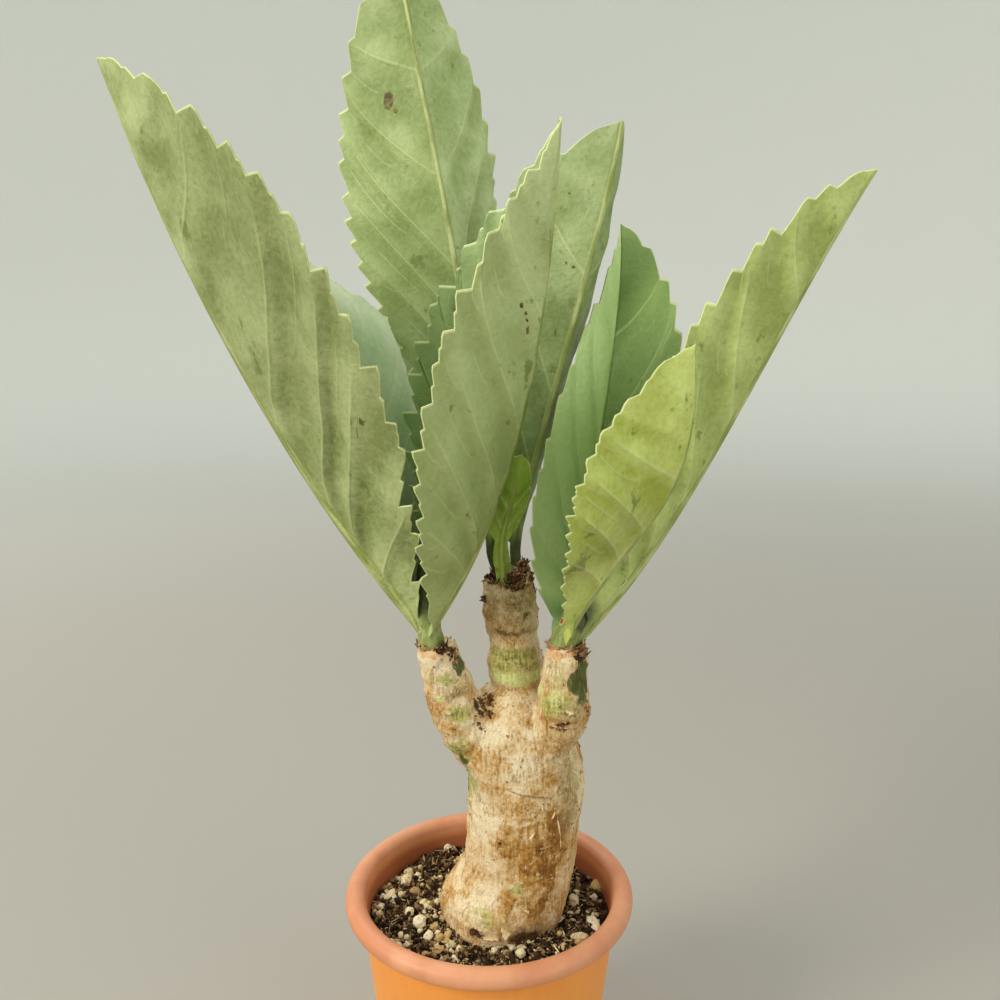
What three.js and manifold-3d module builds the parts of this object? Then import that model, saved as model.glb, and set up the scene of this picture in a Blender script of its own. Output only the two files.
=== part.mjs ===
// A potted caudex plant, Cyphostemma juttae: a swollen trunk with three branches in a
// rolled-rim plastic pot, and eight fleshy, toothed leaves that stay folded along their keels.
// Millimetres, +Z up. The origin is the middle of the pot's underside, and -Y is the front.

import * as THREE from 'three';
import { mergeVertices } from 'three/addons/utils/BufferGeometryUtils.js';
import Module from 'manifold-3d';

const wasm = await Module();
wasm.setup();

// Driving dimensions of the pot
const POT_HEIGHT = 135;
const RIM_RADIUS = 80;
const RIM_ROLL = 5.5;
const WALL = 3;
const WALL_OUTER_TOP = 71;
const BASE_RADIUS = 56.5;
const BASE_ROUNDING = 2.5;
const FLOOR = 4;
const DRAIN_RADIUS = 4;
const DRAIN_RING = 36;
const DRAIN_COUNT = 6;
const DRAIN_SIDES = 12;
const POT_SIDES = 48;
const ROLL_STEP = 30;

// Clearance that keeps neighbouring pieces apart
const GAP = 0.3;

// Potting mix. Its lumps are waves: `x` and `y` give each one's direction in radians a millimetre.
const SOIL_LEVEL = 118;
const SOIL_LUMP = 1.3;
const SOIL_WAVES = [
  { x: 0.2, y: 0.16, phase: 1.3, share: 0.7 },
  { x: -0.17, y: 0.21, phase: 0, share: 0.5 },
  { x: 0.27, y: 0.27, phase: 2, share: 0.5 },
  { x: 0.13, y: -0.25, phase: 0.5, share: 0.5 },
];
const SOIL_SIDES = 40;
const SOIL_RINGS = 7;

// Trunk below and above the soil: height, middle x and y, half width, half depth
const CAUDEX = [
  [76, 8, 0, 11, 11],
  [88, 7, 0, 20, 19],
  [104, 6, -1, 29, 29],
  [118, 7, -2, 33.5, 34],
  [131, 8.5, -1.5, 34.5, 34.5],
  [141, 13, 0, 32.8, 33],
  [152, 17.5, 1, 31.3, 32],
  [170, 19, 1, 31.4, 31.5],
  [190, 20.2, 1, 32, 31.5],
  [205, 19.3, 0, 32, 31],
  [216, 16.8, 0, 32, 30],
  [227, 14.5, 1, 30.5, 27.5],
  [238, 14, 3, 25, 22.5],
  [247, 14.3, 5, 16.5, 16],
  [252, 14.4, 6, 9, 9],
];
const CAUDEX_SIDES = 28;
const CAUDEX_STEPS = 22;

// Branches, from inside the trunk to the bark's upper end: x, y, z, radius
const BRANCHES = {
  left: [
    [6, -3, 206, 12],
    [-6, -6, 220, 14.5],
    [-15, -8, 235, 14.6],
    [-20, -9, 249, 13.6],
    [-24, -10, 262, 11.9],
    [-27.5, -10, 276, 10.8],
  ],
  center: [
    [14, 5, 226, 12],
    [14.6, 6, 242, 13.9],
    [14.4, 6, 252, 14.2],
    [14, 6, 262, 15.3],
    [13.5, 6, 273, 12.8],
    [12.3, 6, 286, 15],
    [11.5, 6, 297, 14.5],
    [10.6, 6, 308, 13.2],
  ],
  right: [
    [26, -8, 216, 11],
    [34, -14, 228, 12.5],
    [38.6, -18, 241, 14],
    [38.8, -20, 252, 13.3],
    [39.4, -20, 265, 12],
    [41, -20, 279, 10.4],
  ],
};
const BRANCH_SIDES = 16;
const BRANCH_STEPS = 12;

// Relief, as shares of the radius: the caudex's swellings are waves round it that wind with the
// height, and each branch has rings at an even spacing
const SWELLINGS = [
  { around: 3, rise: 14, depth: 0.014 },
  { around: 5, rise: -9, depth: 0.01 },
];
const BRANCH_RING_DEPTH = 0.03;
const BRANCH_RING_SPACING = 9;

// Green shoots on the branch ends: x, y, z, radius
const SHOOTS = {
  left: [
    [-27, -10, 273, 9.2],
    [-28.6, -11, 282, 8.6],
    [-29.2, -13, 291, 6],
  ],
  center: [
    [11, 6, 305, 11.4],
    [10, 5.5, 315, 10.6],
    [9.4, 5, 325, 6.6],
  ],
  right: [
    [40.7, -20, 276, 9.2],
    [42, -20, 286, 9.2],
    [43, -20, 296, 6.2],
  ],
};
const SHOOT_SIDES = 12;
const SHOOT_STEPS = 5;

// Leaves. The keel is a cubic curve from the petiole's foot to the tip, and the fold opens towards
// `opens`, given at the foot and at the tip. Each half lies on side +1 or -1 of the keel: `width`
// is its greatest width, `widest` where along the blade that is, `taper` how soon it narrows to
// the tip, `fold` the angle in degrees between it and the opening, at the foot and at the tip,
// and `curl` the angle in degrees by which it bends outwards from the keel to the margin.
const LEAVES = [
  {
    name: 'leaf_left_outer',
    shoot: 'left',
    keel: [[-33, -10, 285], [-84, -20, 345], [-146, -30, 460], [-178, -26, 561]],
    opens: [[0.84, -0.12, 0.53], [0.86, -0.28, 0.44]],
    halves: [
      { side: -1, width: 92, widest: 0.53, taper: 0.94, fold: [27, 33], curl: 7 },
      { side: 1, width: 86, widest: 0.35, taper: 1.55, fold: [44, 11], curl: 13 },
    ],
    teeth: 17,
  },
  {
    name: 'leaf_left_inner',
    shoot: 'left',
    keel: [[-25, -17, 289], [18, -40, 364], [26, -48, 450], [33, -46, 530]],
    opens: [[-0.85, -0.39, 0.35], [-0.98, -0.13, 0.12]],
    halves: [
      { side: 1, width: 57, widest: 0.4, taper: 0.93, fold: [28, 18], curl: 8 },
      { side: -1, width: 54, widest: 0.5, taper: 1.25, fold: [22, 19], curl: 8 },
    ],
    teeth: 16,
  },
  {
    name: 'leaf_center_tall',
    shoot: 'center',
    keel: [[2, 13, 320], [-5, 50, 434], [-28, 66, 513], [-52, 74, 652]],
    opens: [[-0.74, 0.67, 0.08], [-0.08, 1, 0.03]],
    halves: [
      { side: 1, width: 58, widest: 0.64, taper: 0.68, fold: [58, 55], curl: 7 },
      { side: -1, width: 55, widest: 0.65, taper: 0.95, fold: [40, 56], curl: 1 },
    ],
    teeth: 18,
  },
  {
    name: 'leaf_center_right',
    shoot: 'center',
    keel: [[14, 6, 320], [15, 14, 350], [60, 20, 485], [69, 22, 545]],
    opens: [[-0.79, 0.61, -0.02], [-0.7, 0.72, 0.05]],
    halves: [
      { side: 1, width: 54, widest: 0.58, taper: 0.72, fold: [20, 23], curl: 4 },
      { side: -1, width: 40, widest: 0.5, taper: 0.9, fold: [76, 80], curl: -56 },
    ],
    teeth: 14,
  },
  {
    name: 'leaf_center_young',
    shoot: 'center',
    keel: [[7, -5, 320], [5, -12, 340], [14, -16, 352], [17, -16, 384]],
    opens: [[-0.2, 1, 0.2], [-0.2, 1, 0]],
    halves: [
      { side: 1, width: 14, widest: 0.6, taper: 0.6, fold: [60, 60], curl: 5 },
      { side: -1, width: 10, widest: 0.6, taper: 0.6, fold: [60, 60], curl: 5 },
    ],
    teeth: 5,
  },
  {
    name: 'leaf_right_inner',
    shoot: 'right',
    keel: [[38, -11, 287], [48, 3, 312], [75, 24, 450], [74, 62, 499]],
    opens: [[-0.3, -0.91, 0.3], [0.05, -0.97, 0.25]],
    halves: [
      { side: 1, width: 41, widest: 0.48, taper: 0.83, fold: [60, 80], curl: 2 },
      { side: -1, width: 32, widest: 0.36, taper: 1, fold: [63, 52], curl: 0.1 },
    ],
    teeth: 14,
  },
  {
    name: 'leaf_right_front',
    shoot: 'right',
    keel: [[41, -26, 289], [73, -46, 354], [97, -62, 354], [91, -68, 431]],
    opens: [[-0.87, -0.45, 0.2], [-0.97, -0.25, 0.02]],
    halves: [
      { side: 1, width: 66, widest: 0.54, taper: 0.64, fold: [28, 16], curl: 4 },
      { side: -1, width: 43, widest: 0.55, taper: 0.65, fold: [25, 20], curl: 5 },
    ],
    teeth: 13,
  },
  {
    name: 'leaf_right_outer',
    shoot: 'right',
    keel: [[50, -20, 288], [100, -20, 338], [141, -22, 444], [186, -16, 514]],
    opens: [[-0.85, 0.15, 0.5], [-0.86, 0.12, 0.5]],
    halves: [
      { side: 1, width: 47, widest: 0.5, taper: 0.82, fold: [40, 22], curl: 2 },
      { side: -1, width: 45, widest: 0.47, taper: 0.8, fold: [60, 36], curl: 5 },
    ],
    teeth: 16,
  },
];

// The petiole ends at this share of the keel, and has faded into the blade by twice that
const PETIOLE_END = 0.06;
const PETIOLE_HALF_WIDTH = 4.2;
const PETIOLE_FOLD = 78;

// Thickness of rib, blade and margin, and how far the crease stands in front of the keel line.
// The inner face keeps to CREASE_SHARE of the room between its half and the middle of the fold.
const RIB_FOOT = 5;
const RIB_TIP = 0.8;
const BLADE_THICKNESS = 2.4;
const MARGIN_THICKNESS = 1.2;
const CREASE = 1.3;
const CREASE_SHARE = 0.6;

// Teeth like a saw's: each peak lies late in its tooth, and a notch is TOOTH_DEPTH deep but never
// more than TOOTH_SHARE of the width there
const TOOTH_DEPTH = 3;
const TOOTH_SHARE = 0.25;
const TOOTH_PEAK = 0.72;
const TIP_STATION = 0.985;
const LEAST_REACH = 0.2;

// Finishes
const TERRACOTTA = { color: 0xcf7448, roughness: 0.5 };
const POTTING_MIX = { color: 0x3a2c22, roughness: 0.97 };
const BARK = { color: 0xc4a77d, roughness: 0.85 };
const GREEN_STEM = { color: 0x8fa860, roughness: 0.55 };
const LEAF_GREEN = { color: 0x9db37f, roughness: 0.6 };
const YOUNG_GREEN = { color: 0x93b060, roughness: 0.55 };

const TAU = 2 * Math.PI;
const WELD = 1e-4;
const degrees = THREE.MathUtils.degToRad;
const mix = THREE.MathUtils.lerp;
const vec = (p) => new THREE.Vector3(...p);

// A closed body through rings of points, one after another, each end closed by a fan to a point.
// `flip(j)` says which way the quad from point j to the next is split.
function skin(rings, startPoint, endPoint, flip = () => false) {
  const count = rings[0].length;
  const points = [...rings.flat(), startPoint, endPoint];
  const start = points.length - 2;
  const end = points.length - 1;
  const index = [];
  for (let i = 0; i + 1 < rings.length; i += 1) {
    for (let j = 0; j < count; j += 1) {
      const k = (j + 1) % count;
      const [a, b, c, d] = [i * count + j, i * count + k, (i + 1) * count + k, (i + 1) * count + j];
      if (flip(j)) index.push(a, b, d, b, c, d);
      else index.push(a, b, c, a, c, d);
    }
  }
  const last = (rings.length - 1) * count;
  for (let j = 0; j < count; j += 1) {
    const k = (j + 1) % count;
    index.push(start, k, j);
    index.push(end, last + j, last + k);
  }
  const geometry = new THREE.BufferGeometry();
  geometry.setAttribute('position', new THREE.Float32BufferAttribute(points.flatMap((p) => p.toArray()), 3));
  geometry.setIndex(index);
  return geometry;
}

// A solid for cutting and joining, turned the right way out if its faces point inwards
function solidOf(geometry) {
  const bare = geometry.clone();
  bare.deleteAttribute('normal');
  bare.deleteAttribute('uv');
  const merged = mergeVertices(bare, WELD);
  const points = merged.attributes.position.array;
  const faces = [];
  let volume = 0;
  const corner = (i) => new THREE.Vector3().fromArray(points, 3 * i);
  for (let f = 0; f < merged.index.count; f += 3) {
    const [a, b, c] = [0, 1, 2].map((i) => merged.index.getX(f + i));
    if (a === b || b === c || a === c) continue;
    faces.push(a, b, c);
    volume += corner(a).dot(corner(b).cross(corner(c)));
  }
  if (volume < 0) faces.reverse();
  const mesh = new wasm.Mesh({
    numProp: 3,
    vertProperties: Float32Array.from(points),
    triVerts: Uint32Array.from(faces),
  });
  return new wasm.Manifold(mesh);
}

function geometryOf(solid) {
  const { vertProperties, triVerts, numProp } = solid.getMesh();
  const geometry = new THREE.BufferGeometry();
  geometry.setAttribute('position', new THREE.BufferAttribute(vertProperties, numProp));
  geometry.setIndex(new THREE.BufferAttribute(triVerts, 1));
  return geometry;
}

// A smooth line through stations of any number of values, sampled at even parameters
function stationsThrough(stations, steps) {
  const width = stations[0].length;
  const columns = [];
  for (let start = 0; start < width; start += 3) {
    const part = stations.map((s) => vec([0, 1, 2].map((i) => s[start + i] ?? 0)));
    columns.push(new THREE.CatmullRomCurve3(part, false, 'catmullrom'));
  }
  return Array.from({ length: steps + 1 }, (_, i) =>
    columns.flatMap((curve) => curve.getPoint(i / steps).toArray()).slice(0, width));
}

// The swollen trunk: level, nearly round slices, with a relief of broad swellings above the soil
function caudex(grow) {
  const slices = stationsThrough(CAUDEX, CAUDEX_STEPS);
  const rings = slices.map(([z, x, y, halfWidth, halfDepth]) =>
    Array.from({ length: CAUDEX_SIDES }, (_, j) => {
      const turn = (TAU * j) / CAUDEX_SIDES;
      const relief = SWELLINGS.reduce(
        (sum, { around, rise, depth }) => sum + depth * Math.sin(around * turn + z / rise), 1);
      return new THREE.Vector3(
        x + (halfWidth * relief + grow) * Math.cos(turn),
        y + (halfDepth * relief + grow) * Math.sin(turn),
        z,
      );
    }));
  const [first, last] = [slices[0], slices.at(-1)];
  return skin(rings, vec([first[1], first[2], first[0] - grow]), vec([last[1], last[2], last[0] + grow]));
}

// A round stem along a line of stations, its slices square to the line, ringed like old leaf scars
function stem(stations, sides, steps, ringDepth, grow) {
  const slices = stationsThrough(stations, steps);
  const middles = slices.map((s) => vec(s.slice(0, 3)));
  const path = new THREE.CatmullRomCurve3(middles);
  const rings = slices.map(([, , z, radius], i) => {
    const along = path.getTangent(i / steps);
    const across = new THREE.Vector3(0, 1, 0).cross(along).normalize();
    const upward = new THREE.Vector3().crossVectors(along, across);
    const size = radius * (1 + ringDepth * Math.sin((TAU * z) / BRANCH_RING_SPACING)) + grow;
    return Array.from({ length: sides }, (_, j) => {
      const turn = (TAU * j) / sides;
      return middles[i].clone()
        .addScaledVector(across, size * Math.cos(turn))
        .addScaledVector(upward, size * Math.sin(turn));
    });
  });
  const start = middles[0].clone().addScaledVector(path.getTangent(0), -grow);
  const end = middles.at(-1).clone().addScaledVector(path.getTangent(1), grow);
  rings[0] = rings[0].map((p) => p.addScaledVector(path.getTangent(0), -grow));
  rings[rings.length - 1] = rings.at(-1).map((p) => p.addScaledVector(path.getTangent(1), grow));
  return skin(rings, start, end);
}

// The pot's wall with its floor and rolled rim, turned about the middle, with drain holes
function pot() {
  const rimHeight = POT_HEIGHT - RIM_ROLL;
  const rimMiddle = RIM_RADIUS - RIM_ROLL;
  const profile = [
    [0, 0],
    [BASE_RADIUS - BASE_ROUNDING, 0],
    [BASE_RADIUS, BASE_ROUNDING],
    [WALL_OUTER_TOP, rimHeight - RIM_ROLL],
  ];
  for (let angle = -90; angle <= 180; angle += ROLL_STEP) {
    const a = degrees(angle);
    profile.push([rimMiddle + RIM_ROLL * Math.cos(a), rimHeight + RIM_ROLL * Math.sin(a)]);
  }
  profile.push([WALL_OUTER_TOP - WALL, rimHeight - RIM_ROLL]);
  profile.push([BASE_RADIUS - WALL, FLOOR + BASE_ROUNDING]);
  profile.push([BASE_RADIUS - WALL - BASE_ROUNDING, FLOOR]);
  profile.push([0, FLOOR]);
  const turned = new THREE.LatheGeometry(profile.map(([r, z]) => new THREE.Vector2(r, z)), POT_SIDES);
  let body = solidOf(turned.rotateX(Math.PI / 2));
  for (let i = 0; i < DRAIN_COUNT; i += 1) {
    const turn = (TAU * i) / DRAIN_COUNT;
    const hole = new THREE.CylinderGeometry(DRAIN_RADIUS, DRAIN_RADIUS, 4 * FLOOR, DRAIN_SIDES);
    hole.rotateX(Math.PI / 2).translate(DRAIN_RING * Math.cos(turn), DRAIN_RING * Math.sin(turn), 0);
    body = body.subtract(solidOf(hole));
  }
  return geometryOf(body);
}

// The pot's inner wall, a straight cone from the floor's rounding to under the rim
function innerRadius(z) {
  const low = FLOOR + BASE_ROUNDING;
  const high = POT_HEIGHT - 2 * RIM_ROLL;
  return mix(BASE_RADIUS - WALL, WALL_OUTER_TOP - WALL, (z - low) / (high - low));
}

// The potting mix fills the pot up to a lumpy surface, and the trunk's foot stands in a plain hole
function soil() {
  const low = FLOOR + GAP;
  const side = low + BASE_ROUNDING;
  const lumps = (x, y) => SOIL_WAVES.reduce(
    (sum, wave) => sum + wave.share * Math.sin(wave.x * x + wave.y * y + wave.phase), 0);
  const ring = (radius, height) => Array.from({ length: SOIL_SIDES }, (_, j) => {
    const turn = (TAU * j) / SOIL_SIDES;
    const [x, y] = [radius * Math.cos(turn), radius * Math.sin(turn)];
    return new THREE.Vector3(x, y, height(x, y));
  });
  const top = (x, y) => SOIL_LEVEL + SOIL_LUMP * lumps(x, y);
  const clear = (z) => (innerRadius(z) - GAP) * Math.cos(Math.PI / POT_SIDES) - GAP;
  const rings = [ring(clear(low) - BASE_ROUNDING, () => low), ring(clear(side), () => side)];
  const edge = clear(SOIL_LEVEL - 2 * SOIL_LUMP);
  for (let i = 0; i < SOIL_RINGS; i += 1) {
    rings.push(ring(edge * (1 - i / SOIL_RINGS), top));
  }
  const heap = skin(rings, vec([0, 0, low]), vec([0, 0, top(0, 0)]));
  return geometryOf(solidOf(heap).subtract(solidOf(caudex(GAP))));
}

// The trunk grew as one: the caudex with its three branches
function trunk() {
  let body = solidOf(caudex(0));
  for (const name of Object.keys(BRANCHES)) {
    body = body.add(solidOf(branch(name, 0)));
  }
  return geometryOf(body);
}

function branch(name, grow) {
  return stem(BRANCHES[name], BRANCH_SIDES, BRANCH_STEPS, BRANCH_RING_DEPTH, grow);
}

function shootStem(name, grow) {
  return stem(SHOOTS[name], SHOOT_SIDES, SHOOT_STEPS, 0, grow);
}

// A green shoot comes out of its branch's end, and is cut to it
function shoot(name) {
  return geometryOf(solidOf(shootStem(name, 0)).subtract(solidOf(branch(name, GAP))));
}

// The share of its greatest width that a blade has at u, 0 at the petiole and 1 at the tip:
// a power of u times a power of 1 - u, whose peak is at `widest`
function bladeShare(u, { widest, taper }) {
  const rise = (taper * widest) / (1 - widest);
  return (u / widest) ** rise * ((1 - u) / (1 - widest)) ** taper;
}

// A folded leaf as one closed body. Each slice across the keel goes out along the outer face of
// one half, back along its inner face to the crease, and round the other half in the same way.
function leafBlade({ keel, opens, halves, teeth }) {
  const curve = new THREE.CubicBezierCurve3(...keel.map(vec));
  const [openFoot, openTip] = opens.map((p) => vec(p).normalize());
  const slices = [{ t: 0, bite: 0 }, { t: PETIOLE_END / 2, bite: 0 }];
  for (let i = 0; i < teeth; i += 1) {
    slices.push({ t: mix(PETIOLE_END, TIP_STATION, i / teeth), bite: TOOTH_DEPTH });
    slices.push({ t: mix(PETIOLE_END, TIP_STATION, (i + TOOTH_PEAK) / teeth), bite: 0 });
  }
  slices.push({ t: TIP_STATION, bite: TOOTH_DEPTH });

  const rings = slices.map(({ t, bite }) => {
    const along = curve.getTangent(t);
    const inward = openFoot.clone().lerp(openTip, t);
    inward.addScaledVector(along, -inward.dot(along)).normalize();
    const across = new THREE.Vector3().crossVectors(along, inward);
    const middle = curve.getPoint(t);

    const u = Math.max(0, (t - PETIOLE_END) / (1 - PETIOLE_END));
    const petiole = Math.max(0, 1 - t / (2 * PETIOLE_END));
    const rib = mix(RIB_FOOT, RIB_TIP, Math.sqrt(t));
    const thickness = mix(BLADE_THICKNESS, RIB_FOOT, petiole);

    const outline = (half, v, face) => {
      const width = half.width * bladeShare(u, half) + PETIOLE_HALF_WIDTH * (1 - t);
      const notch = v === 1 ? Math.min(bite, width * TOOTH_SHARE) * (1 - petiole) : 0;
      const reach = Math.max(width * v - notch, LEAST_REACH);
      const lean = degrees(mix(mix(...half.fold, t), PETIOLE_FOLD, petiole));
      const turn = degrees(half.curl) * v;
      const forth = (Math.sin(lean + turn) - Math.sin(lean)) / turn;
      const aside = (Math.cos(lean) - Math.cos(lean + turn)) / turn;
      const end = lean + turn;
      const depth = mix(thickness, MARGIN_THICKNESS, v) / 2;
      const inside = Math.min(depth, CREASE_SHARE * reach * Math.tan(lean));
      const offset = face === 'inner' ? inside : -depth;
      return middle.clone()
        .addScaledVector(inward, reach * forth + offset * Math.sin(end))
        .addScaledVector(across, half.side * (reach * aside - offset * Math.cos(end)));
    };
    const [one, two] = [...halves].sort((a, b) => b.side - a.side);
    return [
      middle.clone().addScaledVector(inward, -rib),
      outline(one, 0.5, 'outer'), outline(one, 1, 'outer'),
      outline(one, 1, 'inner'), outline(one, 0.5, 'inner'),
      middle.clone().addScaledVector(inward, CREASE),
      outline(two, 0.5, 'inner'), outline(two, 1, 'inner'),
      outline(two, 1, 'outer'), outline(two, 0.5, 'outer'),
    ];
  });
  const flip = (j) => j === 3 || j === 4 || j === 8 || j === 9;
  return skin(rings, curve.getPoint(0), curve.getPoint(1), flip);
}

// A leaf's foot is cut to the shoot that carries it
function leaf(spec) {
  const body = solidOf(leafBlade(spec)).subtract(solidOf(shootStem(spec.shoot, GAP)));
  const pieces = body.decompose().sort((a, b) => b.volume() - a.volume());
  return geometryOf(pieces[0]);
}

function part(name, geometry, finish) {
  const mesh = new THREE.Mesh(geometry, new THREE.MeshStandardMaterial({ metalness: 0, ...finish }));
  mesh.name = name;
  return mesh;
}

const plant = new THREE.Group();
plant.add(part('pot', pot(), TERRACOTTA));
plant.add(part('soil', soil(), POTTING_MIX));
plant.add(part('trunk', trunk(), BARK));
for (const name of Object.keys(SHOOTS)) {
  plant.add(part(`shoot_${name}`, shoot(name), GREEN_STEM));
}
for (const spec of LEAVES) {
  plant.add(part(spec.name, leaf(spec), spec.name.endsWith('young') ? YOUNG_GREEN : LEAF_GREEN));
}

export default plant;
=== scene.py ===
# %% [markdown]
# # A potted Cyphostemma juttae
# A caudex plant: a swollen, papery-barked trunk with three short branches, each ending in a
# green shoot that carries big, fleshy, toothed leaves. It stands in a rolled-rim plastic pot
# of gritty soil. The construction is already packed as a fixed frame. These cells lay the
# finished surfaces over it: each one is worked out as a whole array, so a shape is a formula.

import bpy
import numpy as np
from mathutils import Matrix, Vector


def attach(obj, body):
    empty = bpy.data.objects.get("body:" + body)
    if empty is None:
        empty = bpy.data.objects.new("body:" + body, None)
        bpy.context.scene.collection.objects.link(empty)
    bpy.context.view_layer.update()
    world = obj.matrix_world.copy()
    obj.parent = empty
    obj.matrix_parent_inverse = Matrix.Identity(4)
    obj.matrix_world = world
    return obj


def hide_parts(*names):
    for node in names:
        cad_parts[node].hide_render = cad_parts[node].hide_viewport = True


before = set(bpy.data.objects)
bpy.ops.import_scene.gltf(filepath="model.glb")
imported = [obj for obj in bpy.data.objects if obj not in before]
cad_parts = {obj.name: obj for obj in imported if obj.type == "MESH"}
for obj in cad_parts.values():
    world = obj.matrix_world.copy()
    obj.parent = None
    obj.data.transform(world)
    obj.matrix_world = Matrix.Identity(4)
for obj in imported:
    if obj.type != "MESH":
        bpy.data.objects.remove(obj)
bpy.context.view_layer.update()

MM = 0.001


# %% [markdown]
# ## The camera
# The photograph was taken by hand from just above the pot, at arm's length, so the leaves lean
# away and the rim opens as an oval. A camera is a place, a pitch and a focal length. Knowing
# the focal length in pixels also lets later cells find the spot that a pixel of the photograph
# shows, which is how each stain and scale gets its place on the real surface.

# %% Camera
PHOTO_SIDE = 1000
FOCAL_PIXELS = 905
SENSOR = 36
CAMERA_PLACE = np.array([6.0, -468.0, 428.5])
CAMERA_PITCH = np.radians(9.35)

FORWARD = np.array([0, np.cos(CAMERA_PITCH), -np.sin(CAMERA_PITCH)])
UPWARD = np.array([0, np.sin(CAMERA_PITCH), np.cos(CAMERA_PITCH)])


def pixels_of(points):
    """The photograph's pixel for each point: the offset across and up over the depth ahead."""
    away = points - CAMERA_PLACE
    depth = away @ FORWARD
    across = PHOTO_SIDE / 2 + FOCAL_PIXELS * away[:, 0] / depth
    down = PHOTO_SIDE / 2 - FOCAL_PIXELS * (away @ UPWARD) / depth
    return np.stack([across, down], axis=1), depth


camera = bpy.data.objects.new("camera", bpy.data.cameras.new("camera"))
camera.data.sensor_width = SENSOR
camera.data.lens = SENSOR * FOCAL_PIXELS / PHOTO_SIDE
camera.location = CAMERA_PLACE * MM
camera.rotation_euler = (np.pi / 2 - CAMERA_PITCH, 0, 0)
bpy.context.scene.collection.objects.link(camera)
bpy.context.scene.camera = camera
print("lens", round(camera.data.lens, 2), "mm")


# %% [markdown]
# ## Rings, tubes and copies
# Every new piece is a grid of points. A face is a row of point numbers, so a tube's faces, its
# ends and those of a thousand copies come from sums of whole numbers.

# %% Rings, tubes and copies
def quads(rows, columns, around=True):
    """Each cell of a grid as four corners, counter-clockwise where rows go up and columns left."""
    index = np.arange(rows * columns).reshape(rows, columns)
    right = np.roll(index, -1, axis=1)
    if not around:
        index, right = index[:, :-1], right[:, :-1]
    corners = [index[:-1], right[:-1], right[1:], index[1:]]
    return np.stack([c.ravel() for c in corners], axis=1)


def fan(ring, middle):
    """Triangles from each step of a ring of point numbers to a middle point."""
    return np.stack([ring, np.roll(ring, -1), np.full(len(ring), middle)], axis=1)


def angles(count):
    """Evenly spaced angles, once round."""
    return np.linspace(0, 2 * np.pi, count, endpoint=False)


def level(turn):
    """The level unit vector at each angle."""
    return np.stack([np.cos(turn), np.sin(turn), 0 * turn], axis=1)


def level_rings(radii, heights, sides):
    """Rings round the upright axis, one for each radius and height."""
    ring = level(angles(sides))
    return np.reshape(radii, (-1, 1, 1)) * ring + np.reshape(heights, (-1, 1, 1)) * (0, 0, 1)


def closed(rings, start, end):
    """The points and faces of a tube of rings with a fan at each end."""
    rows, count = rings.shape[:2]
    points = np.vstack([rings.reshape(-1, 3), [start], [end]])
    last = (rows - 1) * count
    return points, [quads(rows, count), fan(np.arange(count)[::-1], rows * count),
                    fan(np.arange(last, last + count), rows * count + 1)]


def joined(parts):
    """Several closed parts as one list of points and one of faces, numbered on."""
    points, faces, start = [], [], 0
    for part_points, part_faces in parts:
        points.append(part_points)
        faces += [group + start for group in part_faces]
        start += len(part_points)
    return np.vstack(points), faces


def copied(faces, step, count):
    """The faces of one part for each of its copies, whose points follow one another by step."""
    return (faces[None] + step * np.arange(count)[:, None, None]).reshape(-1, faces.shape[1])


sample_points, sample_faces = closed(level_rings([1, 2, 1], [0, 1, 2], 8), (0, 0, 0), (0, 0, 2))
print("a tube of 3 rings of 8:", len(sample_points), "points,", sum(map(len, sample_faces)), "faces")


# %% [markdown]
# ## Meshes from arrays
# Handing whole arrays to the mesh is fast, and the signed volume tells at once whether the
# faces point outwards: if it is negative they are turned.

# %% Mesh helpers
def volume_of(points, faces):
    """A sixth of the sum of corner products, each face being cut into triangles."""
    total = 0
    for group in faces:
        for k in range(1, group.shape[1] - 1):
            a, b, c = points[group[:, 0]], points[group[:, k]], points[group[:, k + 1]]
            total += np.einsum("ij,ij->", a, np.cross(b, c)) / 6
    return total


def keep_values(mesh, values):
    """Stores each array of numbers, one a point, under its name, where a finish can read it."""
    for key, value in values.items():
        kept = mesh.attributes.new(key, "FLOAT", "POINT")
        kept.data.foreach_set("value", value.astype(np.float32))


def put_mesh(name, points, faces, smooth=True, uv=None, **values):
    """A mesh object from points in millimetres, arrays of faces and named values, one a point."""
    size = volume_of(points, faces)
    if size < 0:
        faces = [group[:, ::-1] for group in faces]
    corners = np.concatenate([group.ravel() for group in faces])
    sides = np.concatenate([np.full(len(group), group.shape[1]) for group in faces])
    mesh = bpy.data.meshes.new(name)
    mesh.vertices.add(len(points))
    mesh.vertices.foreach_set("co", (points * MM).astype(np.float32).ravel())
    mesh.loops.add(len(corners))
    mesh.loops.foreach_set("vertex_index", corners.astype(np.int32))
    mesh.polygons.add(len(sides))
    mesh.polygons.foreach_set("loop_start", (np.cumsum(sides) - sides).astype(np.int32))
    mesh.polygons.foreach_set("use_smooth", np.full(len(sides), smooth))
    mesh.update(calc_edges=True)
    if uv is not None:
        layer = mesh.uv_layers.new(name="UVMap")
        layer.data.foreach_set("uv", (uv[corners] * MM).astype(np.float32).ravel())
    keep_values(mesh, values)
    made = bpy.data.objects.new(name, mesh)
    bpy.context.scene.collection.objects.link(made)
    print(f"{name}: {int((sides - 2).sum())} triangles, {abs(size) / 1000:.1f} cm3")
    return made


def applied(piece):
    """Works a piece's modifiers into its mesh, which comes back."""
    shown = piece.evaluated_get(bpy.context.evaluated_depsgraph_get())
    worked = bpy.data.meshes.new_from_object(shown)
    piece.modifiers.clear()
    piece.data = worked
    return worked


def dress(piece, material, slot, *nodes):
    """Gives a piece its material, seats it on the plant and lets it stand for nodes; the slot is not
    used.
    """
    piece.data.materials.append(material)
    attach(piece, "root")
    if nodes:
        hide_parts(*nodes)


print("volume of that tube:", round(float(volume_of(sample_points, sample_faces)), 2))


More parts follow.
